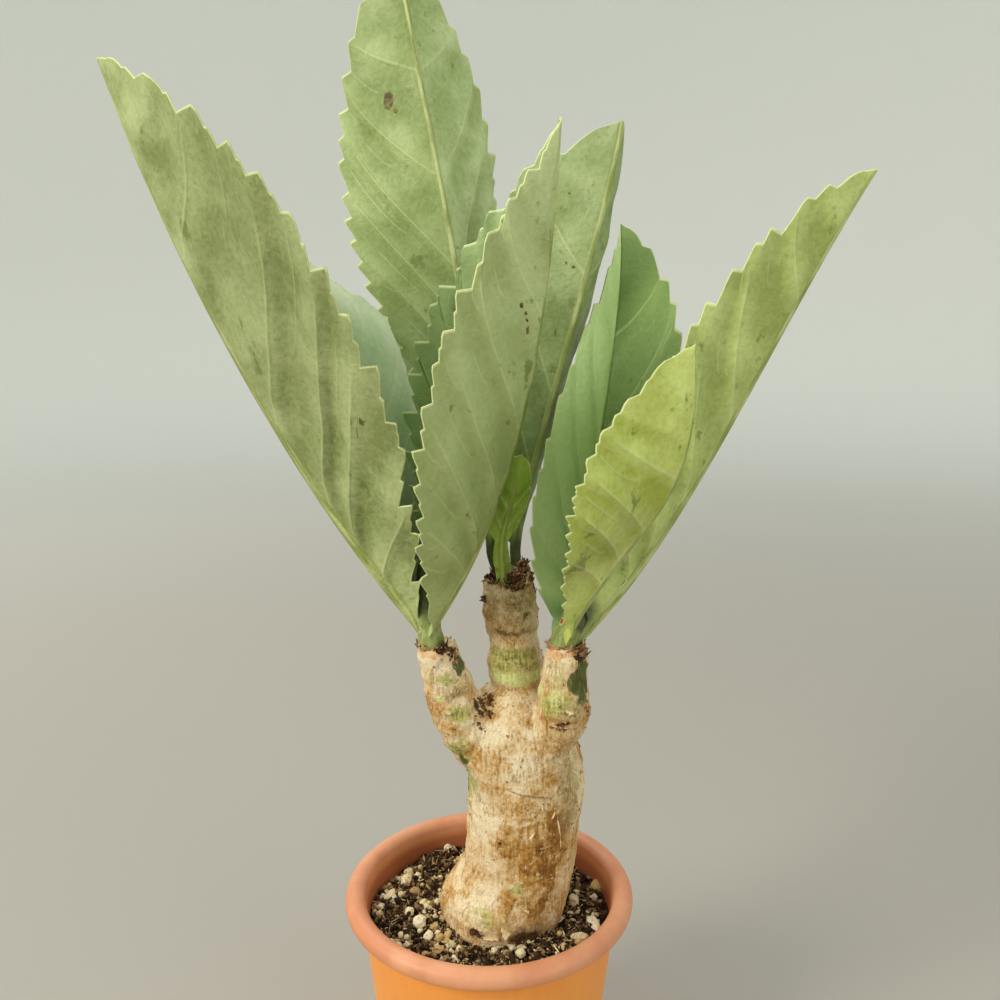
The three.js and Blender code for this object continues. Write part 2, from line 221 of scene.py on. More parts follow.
# %% [markdown]
# ## Noise and curves
# Nature's unevenness comes from one recipe: random numbers at the corners of a lattice,
# blended smoothly between them, at a few sizes at once. Curves come from two more: a cubic
# with four corners for a leaf's keel, and a line through stations for stems.

# %% Noise and curves
LATTICE_SIZE = 64
LATTICE = np.random.default_rng(7).uniform(-1, 1, (LATTICE_SIZE,) * 3)
LEAST_LENGTH = 1e-9


def unit(vectors):
    """Each vector over its own length, and nothing for a vector without length."""
    lengths = np.linalg.norm(vectors, axis=-1, keepdims=True)
    return vectors / np.maximum(lengths, LEAST_LENGTH)


def smooth(low, high, x):
    """0 below low, 1 above high, and 3f² - 2f³ of the share f between them."""
    f = np.clip((x - low) / (high - low), 0, 1)
    return f * f * (3 - 2 * f)


def bell(x, width):
    """1 where x is 0, and a smooth fall on both sides to almost nothing two widths away."""
    return np.exp(-((x / width) ** 2))


def noise(points, size, seed=0, octaves=1):
    """Lattice numbers blended by 3f² - 2f³ on each axis, each octave half as big and half as deep."""
    total = 0
    for octave in range(octaves):
        place = points / np.asarray(size) * 2.0**octave + seed * 7.31 + octave * 3.7
        base = np.floor(place).astype(int)
        f = place - base
        f = f * f * (3 - 2 * f)
        for corner in np.ndindex(2, 2, 2):
            weight = np.prod(np.where(corner, f, 1 - f), axis=-1)
            x, y, z = np.moveaxis((base + corner) % LATTICE_SIZE, -1, 0)
            total = total + weight * LATTICE[x, y, z] * 0.5**octave
    return total


def bezier(corners, t):
    """(1-t)³ A + 3(1-t)²t B + 3(1-t)t² C + t³ D, with the unit tangent."""
    a, b, c, d = np.array(corners, float)
    t = t[..., None]
    place = (1 - t) ** 3 * a + 3 * (1 - t) ** 2 * t * b + 3 * (1 - t) * t**2 * c + t**3 * d
    along = (1 - t) ** 2 * (b - a) + 2 * (1 - t) * t * (c - b) + t**2 * (d - c)
    return place, unit(along)


def through(stations, count):
    """A smooth line through stations: a cubic for each step, its slope at a station being half
    the way from the station before to the one after."""
    p = np.array(stations, float)
    p = np.vstack([2 * p[0] - p[1], p, 2 * p[-1] - p[-2]])
    place = np.linspace(0, len(stations) - 1, count)
    index = np.minimum(place.astype(int), len(stations) - 2)
    f = (place - index)[:, None]
    a, b, c, d = (p[index + k] for k in range(4))
    return b + f / 2 * (c - a + f * (2 * a - 5 * b + 4 * c - d + f * (3 * (b - c) + d - a)))


print("lattice spread", round(float(LATTICE.std()), 3))


# %% [markdown]
# ## Shader maths as Python
# A material is a graph of small nodes. One class wraps a socket so that an expression such as
# `1 - mask * 0.5` adds the nodes that work it out, and reads like the formula it is.

# %% Wire: a socket that does maths
class Wire:
    """A socket in a material's node tree, whose operators add Math nodes."""

    def __init__(self, tree, socket=None):
        self.tree = tree
        self.socket = socket

    def add(self, kind, inputs=None, output=0, stops=None, **settings):
        """A node of that kind: its settings, then its sockets' values or links."""
        node = self.tree.nodes.new(kind)
        for key, value in settings.items():
            setattr(node, key, value)
        for k, (place, color) in enumerate(stops or []):
            ramp = node.color_ramp.elements
            stop = ramp[k] if k < 2 else ramp.new(place)
            stop.position = place
            stop.color = (*color, 1)
        for key, value in (inputs or {}).items():
            self.feed(node.inputs[key], value)
        return Wire(self.tree, node.outputs[output] if node.outputs else None)

    def feed(self, socket, value):
        """Links a wire to the socket, or sets the socket's own value or colour."""
        if isinstance(value, Wire):
            self.tree.links.new(value.socket, socket)
        elif socket.type == "RGBA":
            socket.default_value = (*value, 1)
        else:
            socket.default_value = value

    def maths(self, operation, *values):
        """What a Math node makes of the values."""
        return self.add("ShaderNodeMath", dict(enumerate(values)), operation=operation)

    def __add__(self, other):
        return self.maths("ADD", self, other)

    def __sub__(self, other):
        return self.maths("SUBTRACT", self, other)

    def __rsub__(self, other):
        return self.maths("SUBTRACT", other, self)

    def __mul__(self, other):
        return self.maths("MULTIPLY", self, other)

    __radd__ = __add__
    __rmul__ = __mul__

    def max(self, other):
        return self.maths("MAXIMUM", self, other)

    def min(self, other):
        return self.maths("MINIMUM", self, other)

    def shaken(self, *noises):
        """This number plus each noise, less its middle and times its share, to fray an edge."""
        total = self
        for cloud, share in noises:
            total = total + (cloud - 0.5) * share
        return total

    def step(self, low, high):
        """0 at low, 1 at high, and a smooth rise between them, also where low is the greater."""
        ends = {"Value": self, "From Min": low, "From Max": high}
        return self.add("ShaderNodeMapRange", ends, interpolation_type="SMOOTHSTEP")

    def pick(self, low, high):
        """The colour low where this wire is 0, high where it is 1, and blends between them."""
        return self.add("ShaderNodeMix", {0: self, 6: low, 7: high}, output=2, data_type="RGBA")

    def ramp(self, *stops):
        """The colour this wire picks from stops, each a place from 0 to 1 and a screen colour."""
        stops = [(place, rgb(*color)) for place, *color in stops]
        return self.add("ShaderNodeValToRGB", {"Fac": self}, stops=stops)

    def part(self, axis):
        """One of the three numbers of the vector on this wire."""
        return self.add("ShaderNodeSeparateXYZ", {"Vector": self}, output=axis)

    def length(self):
        """The length of the vector on this wire."""
        return self.add("ShaderNodeVectorMath", {0: self}, output="Value", operation="LENGTH")

    def value(self, name):
        """The number that the mesh keeps under a name for each point."""
        return self.add("ShaderNodeAttribute", output="Fac", attribute_name=name)

    def place(self, source="Object", scale=(1, 1, 1)):
        """The point in the piece's own frame, or its UV, in metres, stretched by scale."""
        point = self.add("ShaderNodeTexCoord", output=source)
        return point.add("ShaderNodeMapping", {"Vector": point, "Scale": scale}, vector_type="POINT")

    def cloud(self, size, detail=2, point=None, roughness=0.5):
        """Noise whose blobs are size metres wide, from 0 to 1 about 0.5."""
        inputs = {"Scale": 1 / size, "Detail": detail, "Roughness": roughness}
        inputs["Vector"] = point or self.place()
        return self.add("ShaderNodeTexNoise", inputs)

    def cells(self, size, point):
        """The distance to the edges of cells about size metres wide."""
        inputs = {"Scale": 1 / size, "Vector": point}
        return self.add("ShaderNodeTexVoronoi", inputs, output="Distance", feature="DISTANCE_TO_EDGE")


def rgb(red, green, blue):
    """A colour given as a screen shows it, 0 to 255, as the light it stands for."""
    share = np.array([red, green, blue]) / 255
    return tuple(np.where(share > 0.04045, ((share + 0.055) / 1.055) ** 2.4, share / 12.92))


def start_finish(name):
    """An empty material and a wire into its tree."""
    material = bpy.data.materials.new(name)
    material.use_nodes = True
    material.node_tree.nodes.clear()
    return material, Wire(material.node_tree)


def end_finish(wire, color, roughness, relief, depth, shine=0.5):
    """The surface shader: its colour, roughness, relief, whose height 1 is depth metres, and shine."""
    bump = wire.add("ShaderNodeBump", {"Height": relief, "Distance": depth})
    inputs = {"Base Color": color, "Roughness": roughness, "Normal": bump, "Specular IOR Level": shine}
    surface = wire.add("ShaderNodeBsdfPrincipled", inputs)
    wire.add("ShaderNodeOutputMaterial", {"Surface": surface})
    print("finish of", len(wire.tree.nodes), "nodes")


print("a mid grey as light:", round(float(rgb(128, 128, 128)[0]), 3))


# %% [markdown]
# ## The studio
# The backdrop is a bowl: a pale floor that curves up into a wall, so no line crosses behind
# the leaves. A big soft light stands high on the left and a weak one fills from the right,
# and the room itself glows a little.

# %% Backdrop and lights
FLOOR_RADIUS = 4200
WALL_HEIGHT = 3400
BOWL_STEPS = 48
BOWL_SIDES = 96
BOWL_REACH = 1.35
BOWL_SOFTNESS = 8
# Places and sizes in metres, power in watts.
LIGHTS = {
    "key_light": {"place": (-2.2, -1.4, 1.75), "size": 1.4, "power": 58, "color": (1, 0.965, 0.88)},
    "fill_light": {"place": (1.9, -1.6, 1.1), "size": 1.8, "power": 14, "color": (0.96, 0.98, 1)},
    "wall_light": {"place": (-1.0, 0.9, 2.4), "size": 1.6, "power": 22, "color": (1, 0.98, 0.93)},
}
AIM = (0.0, 0.0, 0.3)
GLOW_COLOR = (0.93, 0.96, 1, 1)
GLOW_POWER = 0.64

rise = np.linspace(0, 1, BOWL_STEPS)[1:]
# The reach grows as a sine and is held to 1 softly, so the floor turns up without a crease.
reach = BOWL_REACH * np.sin(rise * np.pi / 2)
radii = FLOOR_RADIUS * reach / (1 + reach**BOWL_SOFTNESS) ** (1 / BOWL_SOFTNESS)
heights = WALL_HEIGHT * smooth(0.25, 1, rise) ** 1.8
bowl = level_rings(radii, heights, BOWL_SIDES)
points = np.vstack([bowl.reshape(-1, 3), [[0, 0, 0]]])
backdrop = put_mesh("backdrop", points, [quads(len(rise), BOWL_SIDES),
                                         fan(np.arange(BOWL_SIDES), len(points) - 1)[:, ::-1]])

material, wire = start_finish("pale_backdrop")
# The floor is painted lighter away from the middle: painted light that makes up for the lamps' fall-off
# with distance.
color = wire.place().length().step(0.5, 4.2).pick(rgb(172, 168, 158), rgb(232, 234, 226))
end_finish(wire, color, 1.0, wire.cloud(0.01), 0.0001, shine=0)
backdrop.data.materials.append(material)

for name, spec in LIGHTS.items():
    light = bpy.data.lights.new(name, "AREA")
    light.shape = "DISK"
    light.size = spec["size"]
    light.energy = spec["power"]
    light.color = spec["color"]
    lamp = bpy.data.objects.new(name, light)
    lamp.location = spec["place"]
    toward = Vector(AIM) - lamp.location
    lamp.rotation_euler = toward.to_track_quat("-Z", "Y").to_euler()
    bpy.context.scene.collection.objects.link(lamp)

world = bpy.data.worlds.new("room")
world.use_nodes = True
glow = world.node_tree.nodes["Background"].inputs
glow["Color"].default_value = GLOW_COLOR
glow["Strength"].default_value = GLOW_POWER
bpy.context.scene.world = world
bpy.context.scene.view_settings.view_transform = "Standard"
print(len(LIGHTS), "lights")


# %% [markdown]
# ## The pot
# A moulded plastic pot is a profile turned round an axis: a tapering wall, a floor, and a rim
# rolled outwards into a fat tube. The turned surface is closed, so its wall has a real
# thickness. Drain holes are cut through the floor afterwards with a Boolean.

# %% Pot
POT_HEIGHT = 135
RIM_RADIUS = 80
RIM_ROLL = 5.5
WALL = 3
WALL_TOP = 71
BASE_RADIUS = 56.5
BASE_ROUNDING = 2.5
FLOOR = 4
DRAIN_RADIUS = 4
DRAIN_RING = 36
DRAIN_COUNT = 6
DRILL_SIDES = 24
POT_SIDES = 180
ROLL_STEPS = 26


def line(start, end, steps):
    """Evenly spaced points from start up to, and without, end."""
    return np.linspace(start, end, steps, endpoint=False)


roll_z = POT_HEIGHT - RIM_ROLL
roll_r = RIM_RADIUS - RIM_ROLL
turn = np.linspace(-np.pi / 2, np.pi, ROLL_STEPS)
corner = np.linspace(-np.pi / 2, 0, 5)
profile = np.vstack([
    line((2, 0), (BASE_RADIUS - BASE_ROUNDING, 0), 5),
    np.stack([BASE_RADIUS - BASE_ROUNDING + BASE_ROUNDING * np.cos(corner),
              BASE_ROUNDING + BASE_ROUNDING * np.sin(corner)], axis=1),
    line((BASE_RADIUS, BASE_ROUNDING), (WALL_TOP, roll_z - RIM_ROLL), 24)[1:],
    line((WALL_TOP, roll_z - RIM_ROLL), (roll_r, roll_z - RIM_ROLL), 3),
    np.stack([roll_r + RIM_ROLL * np.cos(turn), roll_z + RIM_ROLL * np.sin(turn)], axis=1),
    line((WALL_TOP - WALL, roll_z - RIM_ROLL), (BASE_RADIUS - WALL, FLOOR + BASE_ROUNDING), 20),
    line((BASE_RADIUS - WALL, FLOOR + BASE_ROUNDING), (BASE_RADIUS - WALL - BASE_ROUNDING, FLOOR), 3),
    line((BASE_RADIUS - WALL - BASE_ROUNDING, FLOOR), (1, FLOOR), 5),
])
rings = level_rings(*profile.T, POT_SIDES)
pot = put_mesh("pot_moulded", *closed(rings, (0, 0, 0), (0, 0, FLOOR)))


# %% [markdown]
# Water has to get out, so six holes go through the floor. Each drill is a plain tube with two
# caps, longer than the floor is thick, and one Boolean takes them all out of the floor at once.

# %% Drain holes
tube = level_rings([DRAIN_RADIUS] * 2, [-FLOOR, 2 * FLOOR], DRILL_SIDES).reshape(-1, 3)
places = level_rings([DRAIN_RING], [0], DRAIN_COUNT)[0]
caps = np.stack([np.arange(DRILL_SIDES)[::-1], np.arange(DRILL_SIDES, len(tube))])
drills = put_mesh("drills", np.vstack([tube + place for place in places]), [
    copied(faces, len(tube), DRAIN_COUNT) for faces in (quads(2, DRILL_SIDES), caps)
])
cut = pot.modifiers.new("drain_holes", "BOOLEAN")
cut.object = drills
cut.solver = "EXACT"
drilled = applied(pot)
bpy.data.objects.remove(drills)
print("pot after drilling:", len(drilled.polygons), "faces")


# %% [markdown]
# ### Terracotta-coloured plastic
# The plastic is matt with a soft sheen. It is peachy where dust and light catch the rim, more
# orange down the wall, and darker and redder on the inside of the wall. The colour follows the
# height and the distance from the axis, so the finish knows the inside from the outside.

# %% Pot finish
material, wire = start_finish("terracotta_plastic")
height = wire.place().part(2)
off_axis = wire.place(scale=(1, 1, 0)).length()
wall_here = off_axis - height * ((WALL_TOP - BASE_RADIUS) / (POT_HEIGHT - 2 * RIM_ROLL))
inside = wall_here.step((BASE_RADIUS - 0.8) * MM, (BASE_RADIUS - WALL + 0.8) * MM)
high = height.step((POT_HEIGHT - 2 * RIM_ROLL - 1) * MM, (POT_HEIGHT - RIM_ROLL) * MM)
streaks = wire.cloud(0.006, 3, wire.place(scale=(1, 1, 0.08)))
blotch = wire.cloud(0.03, 4)
wall_color = streaks.step(0.35, 0.7).pick(rgb(246, 156, 64), rgb(249, 160, 70))
rim_color = blotch.step(0.35, 0.65).pick(rgb(212, 138, 96), rgb(226, 158, 116))
color = high.pick(wall_color, rim_color)
# Darker and redder on the inside of the wall.
color = (inside * (1 - high)).pick(color, rgb(176, 102, 66))
dust = wire.cloud(0.0012, 4).step(0.58, 0.75) * blotch.step(0.4, 0.6)
color = (dust * 0.25).pick(color, rgb(224, 190, 160))
roughness = 0.36 + blotch * 0.2
end_finish(wire, color, roughness, wire.cloud(0.0006, 3) + streaks * 0.2, 0.00012)
dress(pot, material, "terracotta_plastic", "pot")


# %% [markdown]
# ## Finding a spot on a surface
# Some marks belong to this one plant: a scar on a leaf, a green window in the bark. Each is
# named and placed by the pixel where the photograph shows it, with its reach in millimetres.
# The point of the surface that is seen there becomes its middle, so it stays put from any side.

# %% Spots
def seen_at(points, pixel, reach=5):
    """The number of the nearest of the points shown within reach pixels of the pixel."""
    shown, depth = pixels_of(points)
    apart = np.hypot(*(shown - pixel).T)
    return np.where(apart < max(reach, apart.min() + 1), depth, np.inf).argmin()


def spots(points, places):
    """For each point the greatest of the spots: strength times 1.3 less the way from its middle
    over its reach, which is `wide` on the level and `tall` upwards."""
    total = np.zeros(len(points))
    for x, y, wide, tall, strength in places.values():
        away = points - points[seen_at(points, (x, y))]
        far = np.sqrt((away[:, 0] ** 2 + away[:, 1] ** 2) / wide**2 + (away[:, 2] / tall) ** 2)
        total = np.maximum(total, strength * np.clip(1.3 - far, 0, 1.3))
    return total


print("the photograph's middle pixel looks at height",
      round(float(CAMERA_PLACE[2] + CAMERA_PLACE[1] * np.tan(CAMERA_PITCH)), 1), "mm over the axis")


# %% [markdown]
# ## Leaves
# A leaf is a sheet folded along its keel. Each half is carried out from the keel on an arc,
# and its width along the keel is a power of the way from the foot times a power of the way to
# the tip. The grid's lines run as the veins do, slanting towards the tip, so a vein is one
# line of the grid and its ridge stays crisp. Between two veins the blade sinks into a valley,
# and the margin is cut into forward-pointing teeth.

# %% The leaf's form
PETIOLE_END = 0.06
PETIOLE_HALF_WIDTH = 4.2
PETIOLE_FOLD = 78
RIB_FOOT = 5.0
RIB_TIP = 0.8
BLADE = 2.2
MARGIN = 0.8
CREASE = 1.3
TIP_STATION = 0.985
SLANT = 0.33
VEIN_BEND = 1.05
CROWDING = 2.5
CROWD_SPREAD = 0.005
FALL_SHARE = 0.7
# Corners of a tooth, from its notch to its peak: share of its length and depth of the margin.
TOOTH_SHAPES = {
    "stepped": [(0, 1), (0.38, 0.45), (0.45, 0.66), (0.76, 0.1), (0.9, 0)],
    "hooked": [(0, 1), (0.4, 0.56), (0.78, 0.08), (0.9, 0)],
}


def blade_share(u, widest, taper):
    """(u/w)^(t w/(1-w)) times ((1-u)/(1-w))^t: 0 at the foot and tip, 1 at w, the widest."""
    rise = taper * widest / (1 - widest)
    return (u / widest) ** rise * ((1 - u) / (1 - widest)) ** taper


def window(s):
    """How much a vein slants where it starts: nothing at the foot and tip, all in between."""
    return smooth(0.04, 0.42, s) * (1 - smooth(0.55, 1, s))


def vein_line(t, out):
    """Where the vein line through t and out meets the middle of the blade, closed in on by steps."""
    line = t
    for _ in range(14):
        line = t - SLANT * window(line) * (out**VEIN_BEND - 0.5)
    return line


def stations(veins, rows):
    """Numbers from 0 to 1, closer together near each vein, and one on each vein."""
    fine = np.linspace(0, 1, 4001)
    crowd = 1 + CROWDING * sum(bell(fine - vein, CROWD_SPREAD) for vein in veins)
    total = np.cumsum(crowd) - crowd[0]
    s = np.interp(np.linspace(0, total[-1], rows), total, fine)
    for vein in veins:
        s[np.abs(s - vein).argmin()] = vein
    return s


def tooth_line(teeth, shape, seed):
    """The margin's corners: how far up the leaf each is and how deep. Every tooth has the same
    shape, from a notch by a long edge to its peak. Their lengths are uneven, and a longer one is
    deeper, so no edge is steeper than the grid's own lines."""
    rng = np.random.default_rng(seed)
    ends = np.linspace(PETIOLE_END, TIP_STATION, teeth + 1)
    ends[1:-1] += rng.uniform(-0.27, 0.27, teeth - 1) * (ends[1] - ends[0])
    lengths = np.diff(ends)
    deep = lengths / lengths.mean() * rng.uniform(0.75, 1.08, teeth)
    share, depth = np.array(TOOTH_SHAPES[shape]).T
    keys = ends[:-1, None] + lengths[:, None] * share
    return np.append(keys, ends[-1]), np.append(deep[:, None] * depth, 0.6)


def snapped(t, keys):
    """Each number moved onto the nearest key if that is nearer than half a step away."""
    step = np.gradient(t)
    nearest = keys[np.abs(t[:, None] - keys[None]).argmin(axis=1)]
    return np.where(np.abs(nearest - t) < 0.49 * step, nearest, t)


def ripple(s, veins):
    """1 on each vein, a gentle fall towards the next vein up, and a short rise onto it."""
    ends = np.array([veins[0] - 0.14, *veins, veins[-1] + 0.1])
    index = np.clip(np.searchsorted(ends, s) - 1, 0, len(ends) - 2)
    along = np.clip((s - ends[index]) / (ends[index + 1] - ends[index]), 0, 1)
    fall = 0.5 + 0.5 * np.cos(np.pi * along / FALL_SHARE)
    climb = 0.5 - 0.5 * np.cos(np.pi * (along - FALL_SHARE) / (1 - FALL_SHARE))
    return np.where(along < FALL_SHARE, fall, climb)


print("ripple past a vein:", ripple(np.array([0.5, 0.55]), np.array([0.3, 0.5, 0.7])).round(2))


# %% [markdown]
# A face of a half is worked out all at once, for a grid of places up the leaf and out from its
# keel. First comes the outline with its teeth, then the arc that carries the blade out and up,
# then the ripples, and last the thickness, which sets the inner and the outer face apart.

# %% One face of a half
# Unevenness of the blade: the noises' sizes and their depths, in millimetres.
BULGE_SIZE, BULGE_DEPTH = 34, 1.6
CRINKLE_SIZE, CRINKLE_DEPTH = 9, 0.35
FRILL_SIZE, FRILL_DEPTH = 13, 1.1
VEIN_RIDGE = 0.5
BRANCH_RIDGE = 0.25
VEIN_DIP = 0.25
RIB_GROOVE = 0.5
LEAST_REACH = 0.02
LEAST_WIDTH = 0.05
TOOTH_SHARE = 0.3
CREASE_SHARE = 0.6


def fold_frame(spec, t):
    """The keel's point and tangent at t, and the way the fold opens, made square to the tangent."""
    keel, along = bezier(spec["keel"], t)
    foot, tip = (unit(np.array(p, float)) for p in spec["opens"])
    inward = foot + (tip - foot) * t[..., None]
    return keel, along, unit(inward - np.sum(inward * along, -1, keepdims=True) * along)


def branch_lines(s, v, veins, scale):
    """The distance to the side branches: each leaves its vein on the lower side and then runs
    beside it up to the margin."""
    nearest = np.full(np.broadcast(s, v).shape, 9.0)
    for vein_at, gap in zip(veins, np.diff(np.array([veins[0] - 0.12, *veins]))):
        for start, share in ((0.32, 0.5), (0.66, 0.26)):
            line_at = vein_at - gap * share * (1 - np.exp(-np.maximum(v - start, 0) / 0.09))
            nearest = np.minimum(nearest, np.abs(s - line_at) * scale + 9 * (v < start))
    return nearest + 2 * smooth(0.85, 1.02, v)


def leaf_half(spec, half, s, v, face, seed):
    """One face of one half: the points and what the finish reads there."""
    veins = np.array(half["veins"])
    t = s + SLANT * window(s) * (v**VEIN_BEND - 0.5)
    keys, depths = tooth_line(spec["teeth"], spec["tooth"], seed)
    edge = snapped(t[:, -1], keys)
    t = np.clip(t + (edge - t[:, -1])[:, None] * v**8, 0, 1)

    keel, along, inward = fold_frame(spec, t)
    across = np.cross(along, inward) * half["side"]
    begin = spec.get("petiole", PETIOLE_END)
    u = np.clip((t - begin) / (1 - begin), 0, 1)
    petiole = np.clip(1 - t / (2 * begin), 0, 1)
    rib = RIB_FOOT + (RIB_TIP - RIB_FOOT) * np.sqrt(t)
    width = half["width"] * blade_share(u, half["widest"], half["taper"])
    thickness = spec.get("rib", 1)
    width = width + PETIOLE_HALF_WIDTH * (1 - t) * spec.get("stalk", thickness)
    deepest = np.minimum(half.get("bite", spec["bite"]), TOOTH_SHARE * width)
    bite = np.interp(edge, keys, depths)[:, None] * deepest
    bite = bite * (1 - petiole) * smooth(begin, begin + 0.08, t)
    reach = np.maximum(width * v - bite * smooth(0.4, 1, v) ** 1.3, LEAST_REACH)
    out = np.clip(reach / np.maximum(width, LEAST_WIDTH), 0, 1)
    line = vein_line(t, out)
    fold = half["fold"][0] + (half["fold"][1] - half["fold"][0]) * t
    lean = np.radians(fold + (PETIOLE_FOLD - fold) * petiole)
    turn = np.radians(half["curl"]) * out + 1e-6
    forth = (np.sin(lean + turn) - np.sin(lean)) / turn
    aside = (np.cos(lean) - np.cos(lean + turn)) / turn
    end = (lean + turn)[..., None]
    normal = np.sin(end) * inward - np.cos(end) * across
    middle = keel + reach[..., None] * (forth[..., None] * inward + aside[..., None] * across)

    swell = smooth(0, 0.22, out) * np.minimum(width / 60, 1) * (1 - petiole)
    waves = ripple(line, veins) * half.get("ripple", spec["ripple"]) * (1 - 0.35 * out)
    waves = waves + noise(middle, BULGE_SIZE, seed, 2) * BULGE_DEPTH
    waves = waves + noise(middle, CRINKLE_SIZE, seed + 1, 2) * CRINKLE_DEPTH * (1 - out)
    waves = waves + noise(middle, FRILL_SIZE, seed + 2) * FRILL_DEPTH * out**4
    flare = half.get("flare", 0) * smooth(0.5, 1, out) ** 2
    flare = flare * smooth(0.2, 0.4, t) * (1 - smooth(0.6, 0.9, t))
    middle = middle - normal * (swell * waves + flare)[..., None]

    length = np.linalg.norm(np.diff(keel[:, 0], axis=0), axis=1).sum()
    scale = length * (0.65 + 0.4 * smooth(0.6, 0.9, line))
    vein = np.min([np.abs(line - x) for x in veins], axis=0) * scale + 3 * smooth(0.8, 1.02, out)
    branch = branch_lines(line, out, veins, scale)

    thick = BLADE + (RIB_FOOT - BLADE) * petiole
    depth = (thick + (MARGIN - thick) * v**1.5) / 2
    rib_width = (0.5 * rib + 0.5) * thickness
    if face == "inner":
        dip = VEIN_DIP * bell(vein, 1.1) * swell
        proud = np.minimum(depth, CREASE_SHARE * reach * np.tan(lean)) - dip
        points = middle + normal * proud[..., None]
    else:
        near = np.clip(1 - reach / rib_width, 0, 1)
        groove = RIB_GROOVE * bell(reach - 1.3 * rib_width, 0.4 * rib_width) * (1 - v)
        ridge = VEIN_RIDGE * bell(vein, 0.9) + BRANCH_RIDGE * bell(branch, 0.8)
        facing = unit(-normal * (1 - near)[..., None] - inward * near[..., None])
        proud = depth - groove + ridge * swell
        proud = proud + (rib * thickness - proud) * np.sin(near * np.pi / 2) ** 1.2
        points = middle + facing * proud[..., None]
    values = {
        "vein": vein,
        "branch": branch,
        "margin": width * (1 - v),
        "keel": reach,
        "ribbed": reach / rib_width,
        # How far down between two veins a point lies, kept for painted shade in the valleys.
        "valley_shade": 1 - ripple(line, veins),
        "inside": np.full(t.shape, float(face == "inner")),
        "second": np.full(t.shape, float(half["side"] < 0)),
    }
    uv = np.stack([t * length, half["side"] * reach], axis=-1)
    return points, middle, normal, values, uv


print("widest share check:", blade_share(np.array(0.5), 0.5, 1.0))


# %% [markdown]
# A whole leaf joins the four faces. The columns go round it: from the keel's outer ridge along
# one half to its edge, back inside to the crease, out along the other half's inside, and back
# to the ridge. Both ends close in a point.

# %% The leaf's mesh
LEAF_ROWS = 262
LEAF_COLUMNS = 36
YOUNG_ROWS = 90
YOUNG_COLUMNS = 16
FOOT_ROWS = 7
FOOT_DROP = 7
FOOT_TAPER = 0.45
TIP_LENGTH = 0.6


def seated(ring, keel, along, seat):
    """Rings that carry the petiole's foot on down into its stem, on a curve from the foot by a
    point below it to the seat, each ring a little smaller than the one above."""
    q = np.linspace(1, 0, FOOT_ROWS, endpoint=False)[:, None, None]
    below = keel - along * FOOT_DROP
    path = (1 - q) ** 2 * keel + 2 * (1 - q) * q * below + q**2 * np.array(seat, float)
    return path + (ring - keel)[None] * (1 - FOOT_TAPER * q)


def leaf_mesh(name, spec, rows, columns):
    """The ring of columns round the leaf, carried along its stations, as one closed mesh."""
    one, two = sorted(spec["halves"], key=lambda half: -half["side"])
    s = stations(one["veins"], rows)[:, None]
    k = np.arange(1, columns + 1) / columns
    v = (0.45 * k + 0.55 * (1 - np.cos(np.pi * k)) / 2)[None]
    parts = []
    for half, offset in ((one, 0), (two, 50)):
        half = {**half, "veins": one["veins"]}
        outer = leaf_half(spec, half, s, v, "outer", spec["seed"] + offset)
        inner = leaf_half(spec, half, s, v, "inner", spec["seed"] + offset)
        rim = (outer[0][:, -1] + inner[0][:, -1]) / 2
        out = unit(outer[1][:, -1] - outer[1][:, -2])
        parts.append((outer, inner, (rim + out * MARGIN / 2)[:, None]))
    (outer1, inner1, rim1), (outer2, inner2, rim2) = parts

    keel_t = np.clip(s[:, 0] - SLANT * window(s[:, 0]) / 2, 0, 1)
    keel, along, inward = fold_frame(spec, keel_t)
    rib = (RIB_FOOT + (RIB_TIP - RIB_FOOT) * np.sqrt(keel_t)) * spec.get("rib", 1)

    def ring(pick, ridge, crease, rims):
        parts = [ridge, pick(outer1), rims[0], pick(inner1)[:, ::-1],
                 crease, pick(inner2), rims[1], pick(outer2)[:, ::-1]]
        return np.concatenate(parts, axis=1)

    def ring_of(pick):
        """A value of the four faces carried to the keel and the edges from beside them."""
        rims = (pick(outer1)[:, -1:], pick(outer2)[:, -1:])
        return ring(pick, pick(outer1)[:, :1], pick(inner1)[:, :1], rims)

    blade = ring(lambda part: part[0], (keel - inward * rib[:, None])[:, None],
                 (keel + inward * CREASE)[:, None], (rim1, rim2))
    foot = seated(blade[0], keel[0], along[0], spec["seat"])
    rings = np.concatenate([foot, blade])
    points, faces = closed(rings, foot[0].mean(0), keel[-1] + along[-1] * TIP_LENGTH)

    def carried(grid):
        """The grid with its first row repeated down the foot, and a value for each end."""
        grid = np.concatenate([np.repeat(grid[:1], FOOT_ROWS, axis=0), grid])
        rows, count = grid.shape[:2]
        return np.concatenate([grid.reshape(rows * count, -1), grid[[0, -1], 0].reshape(2, -1)])

    values = {key: carried(ring_of(lambda part: part[3][key])).ravel() for key in outer1[3]}
    uv = carried(ring_of(lambda part: part[4]))
    # Spots of water-soaked flesh, of scars and of painted shade.
    for key in ("soaked", "scar", "shaded"):
        values[key] = spots(points, spec.get(key, {}))
    return put_mesh(name, points, faces, uv=uv, **values)


print("columns round a leaf:", 4 * LEAF_COLUMNS + 4)


# %% [markdown]
# ### The eight leaves
# Each has its own keel, fold and outline, in millimetres, as in the frame. `veins` are the
# shares of the way up where the main side veins cross the middle of the blade. The `shaded`
# spots are painted shade, on petioles and over parts of the blade that lie in shadow.

# %% Leaf sizes
def half(side, width, widest, taper, fold, curl, veins=(), **more):
    """One half by name: widths in millimetres, the fold and the curl in degrees."""
    return {"side": side, "width": width, "widest": widest, "taper": taper, "fold": fold,
            "curl": curl, "veins": veins, **more}


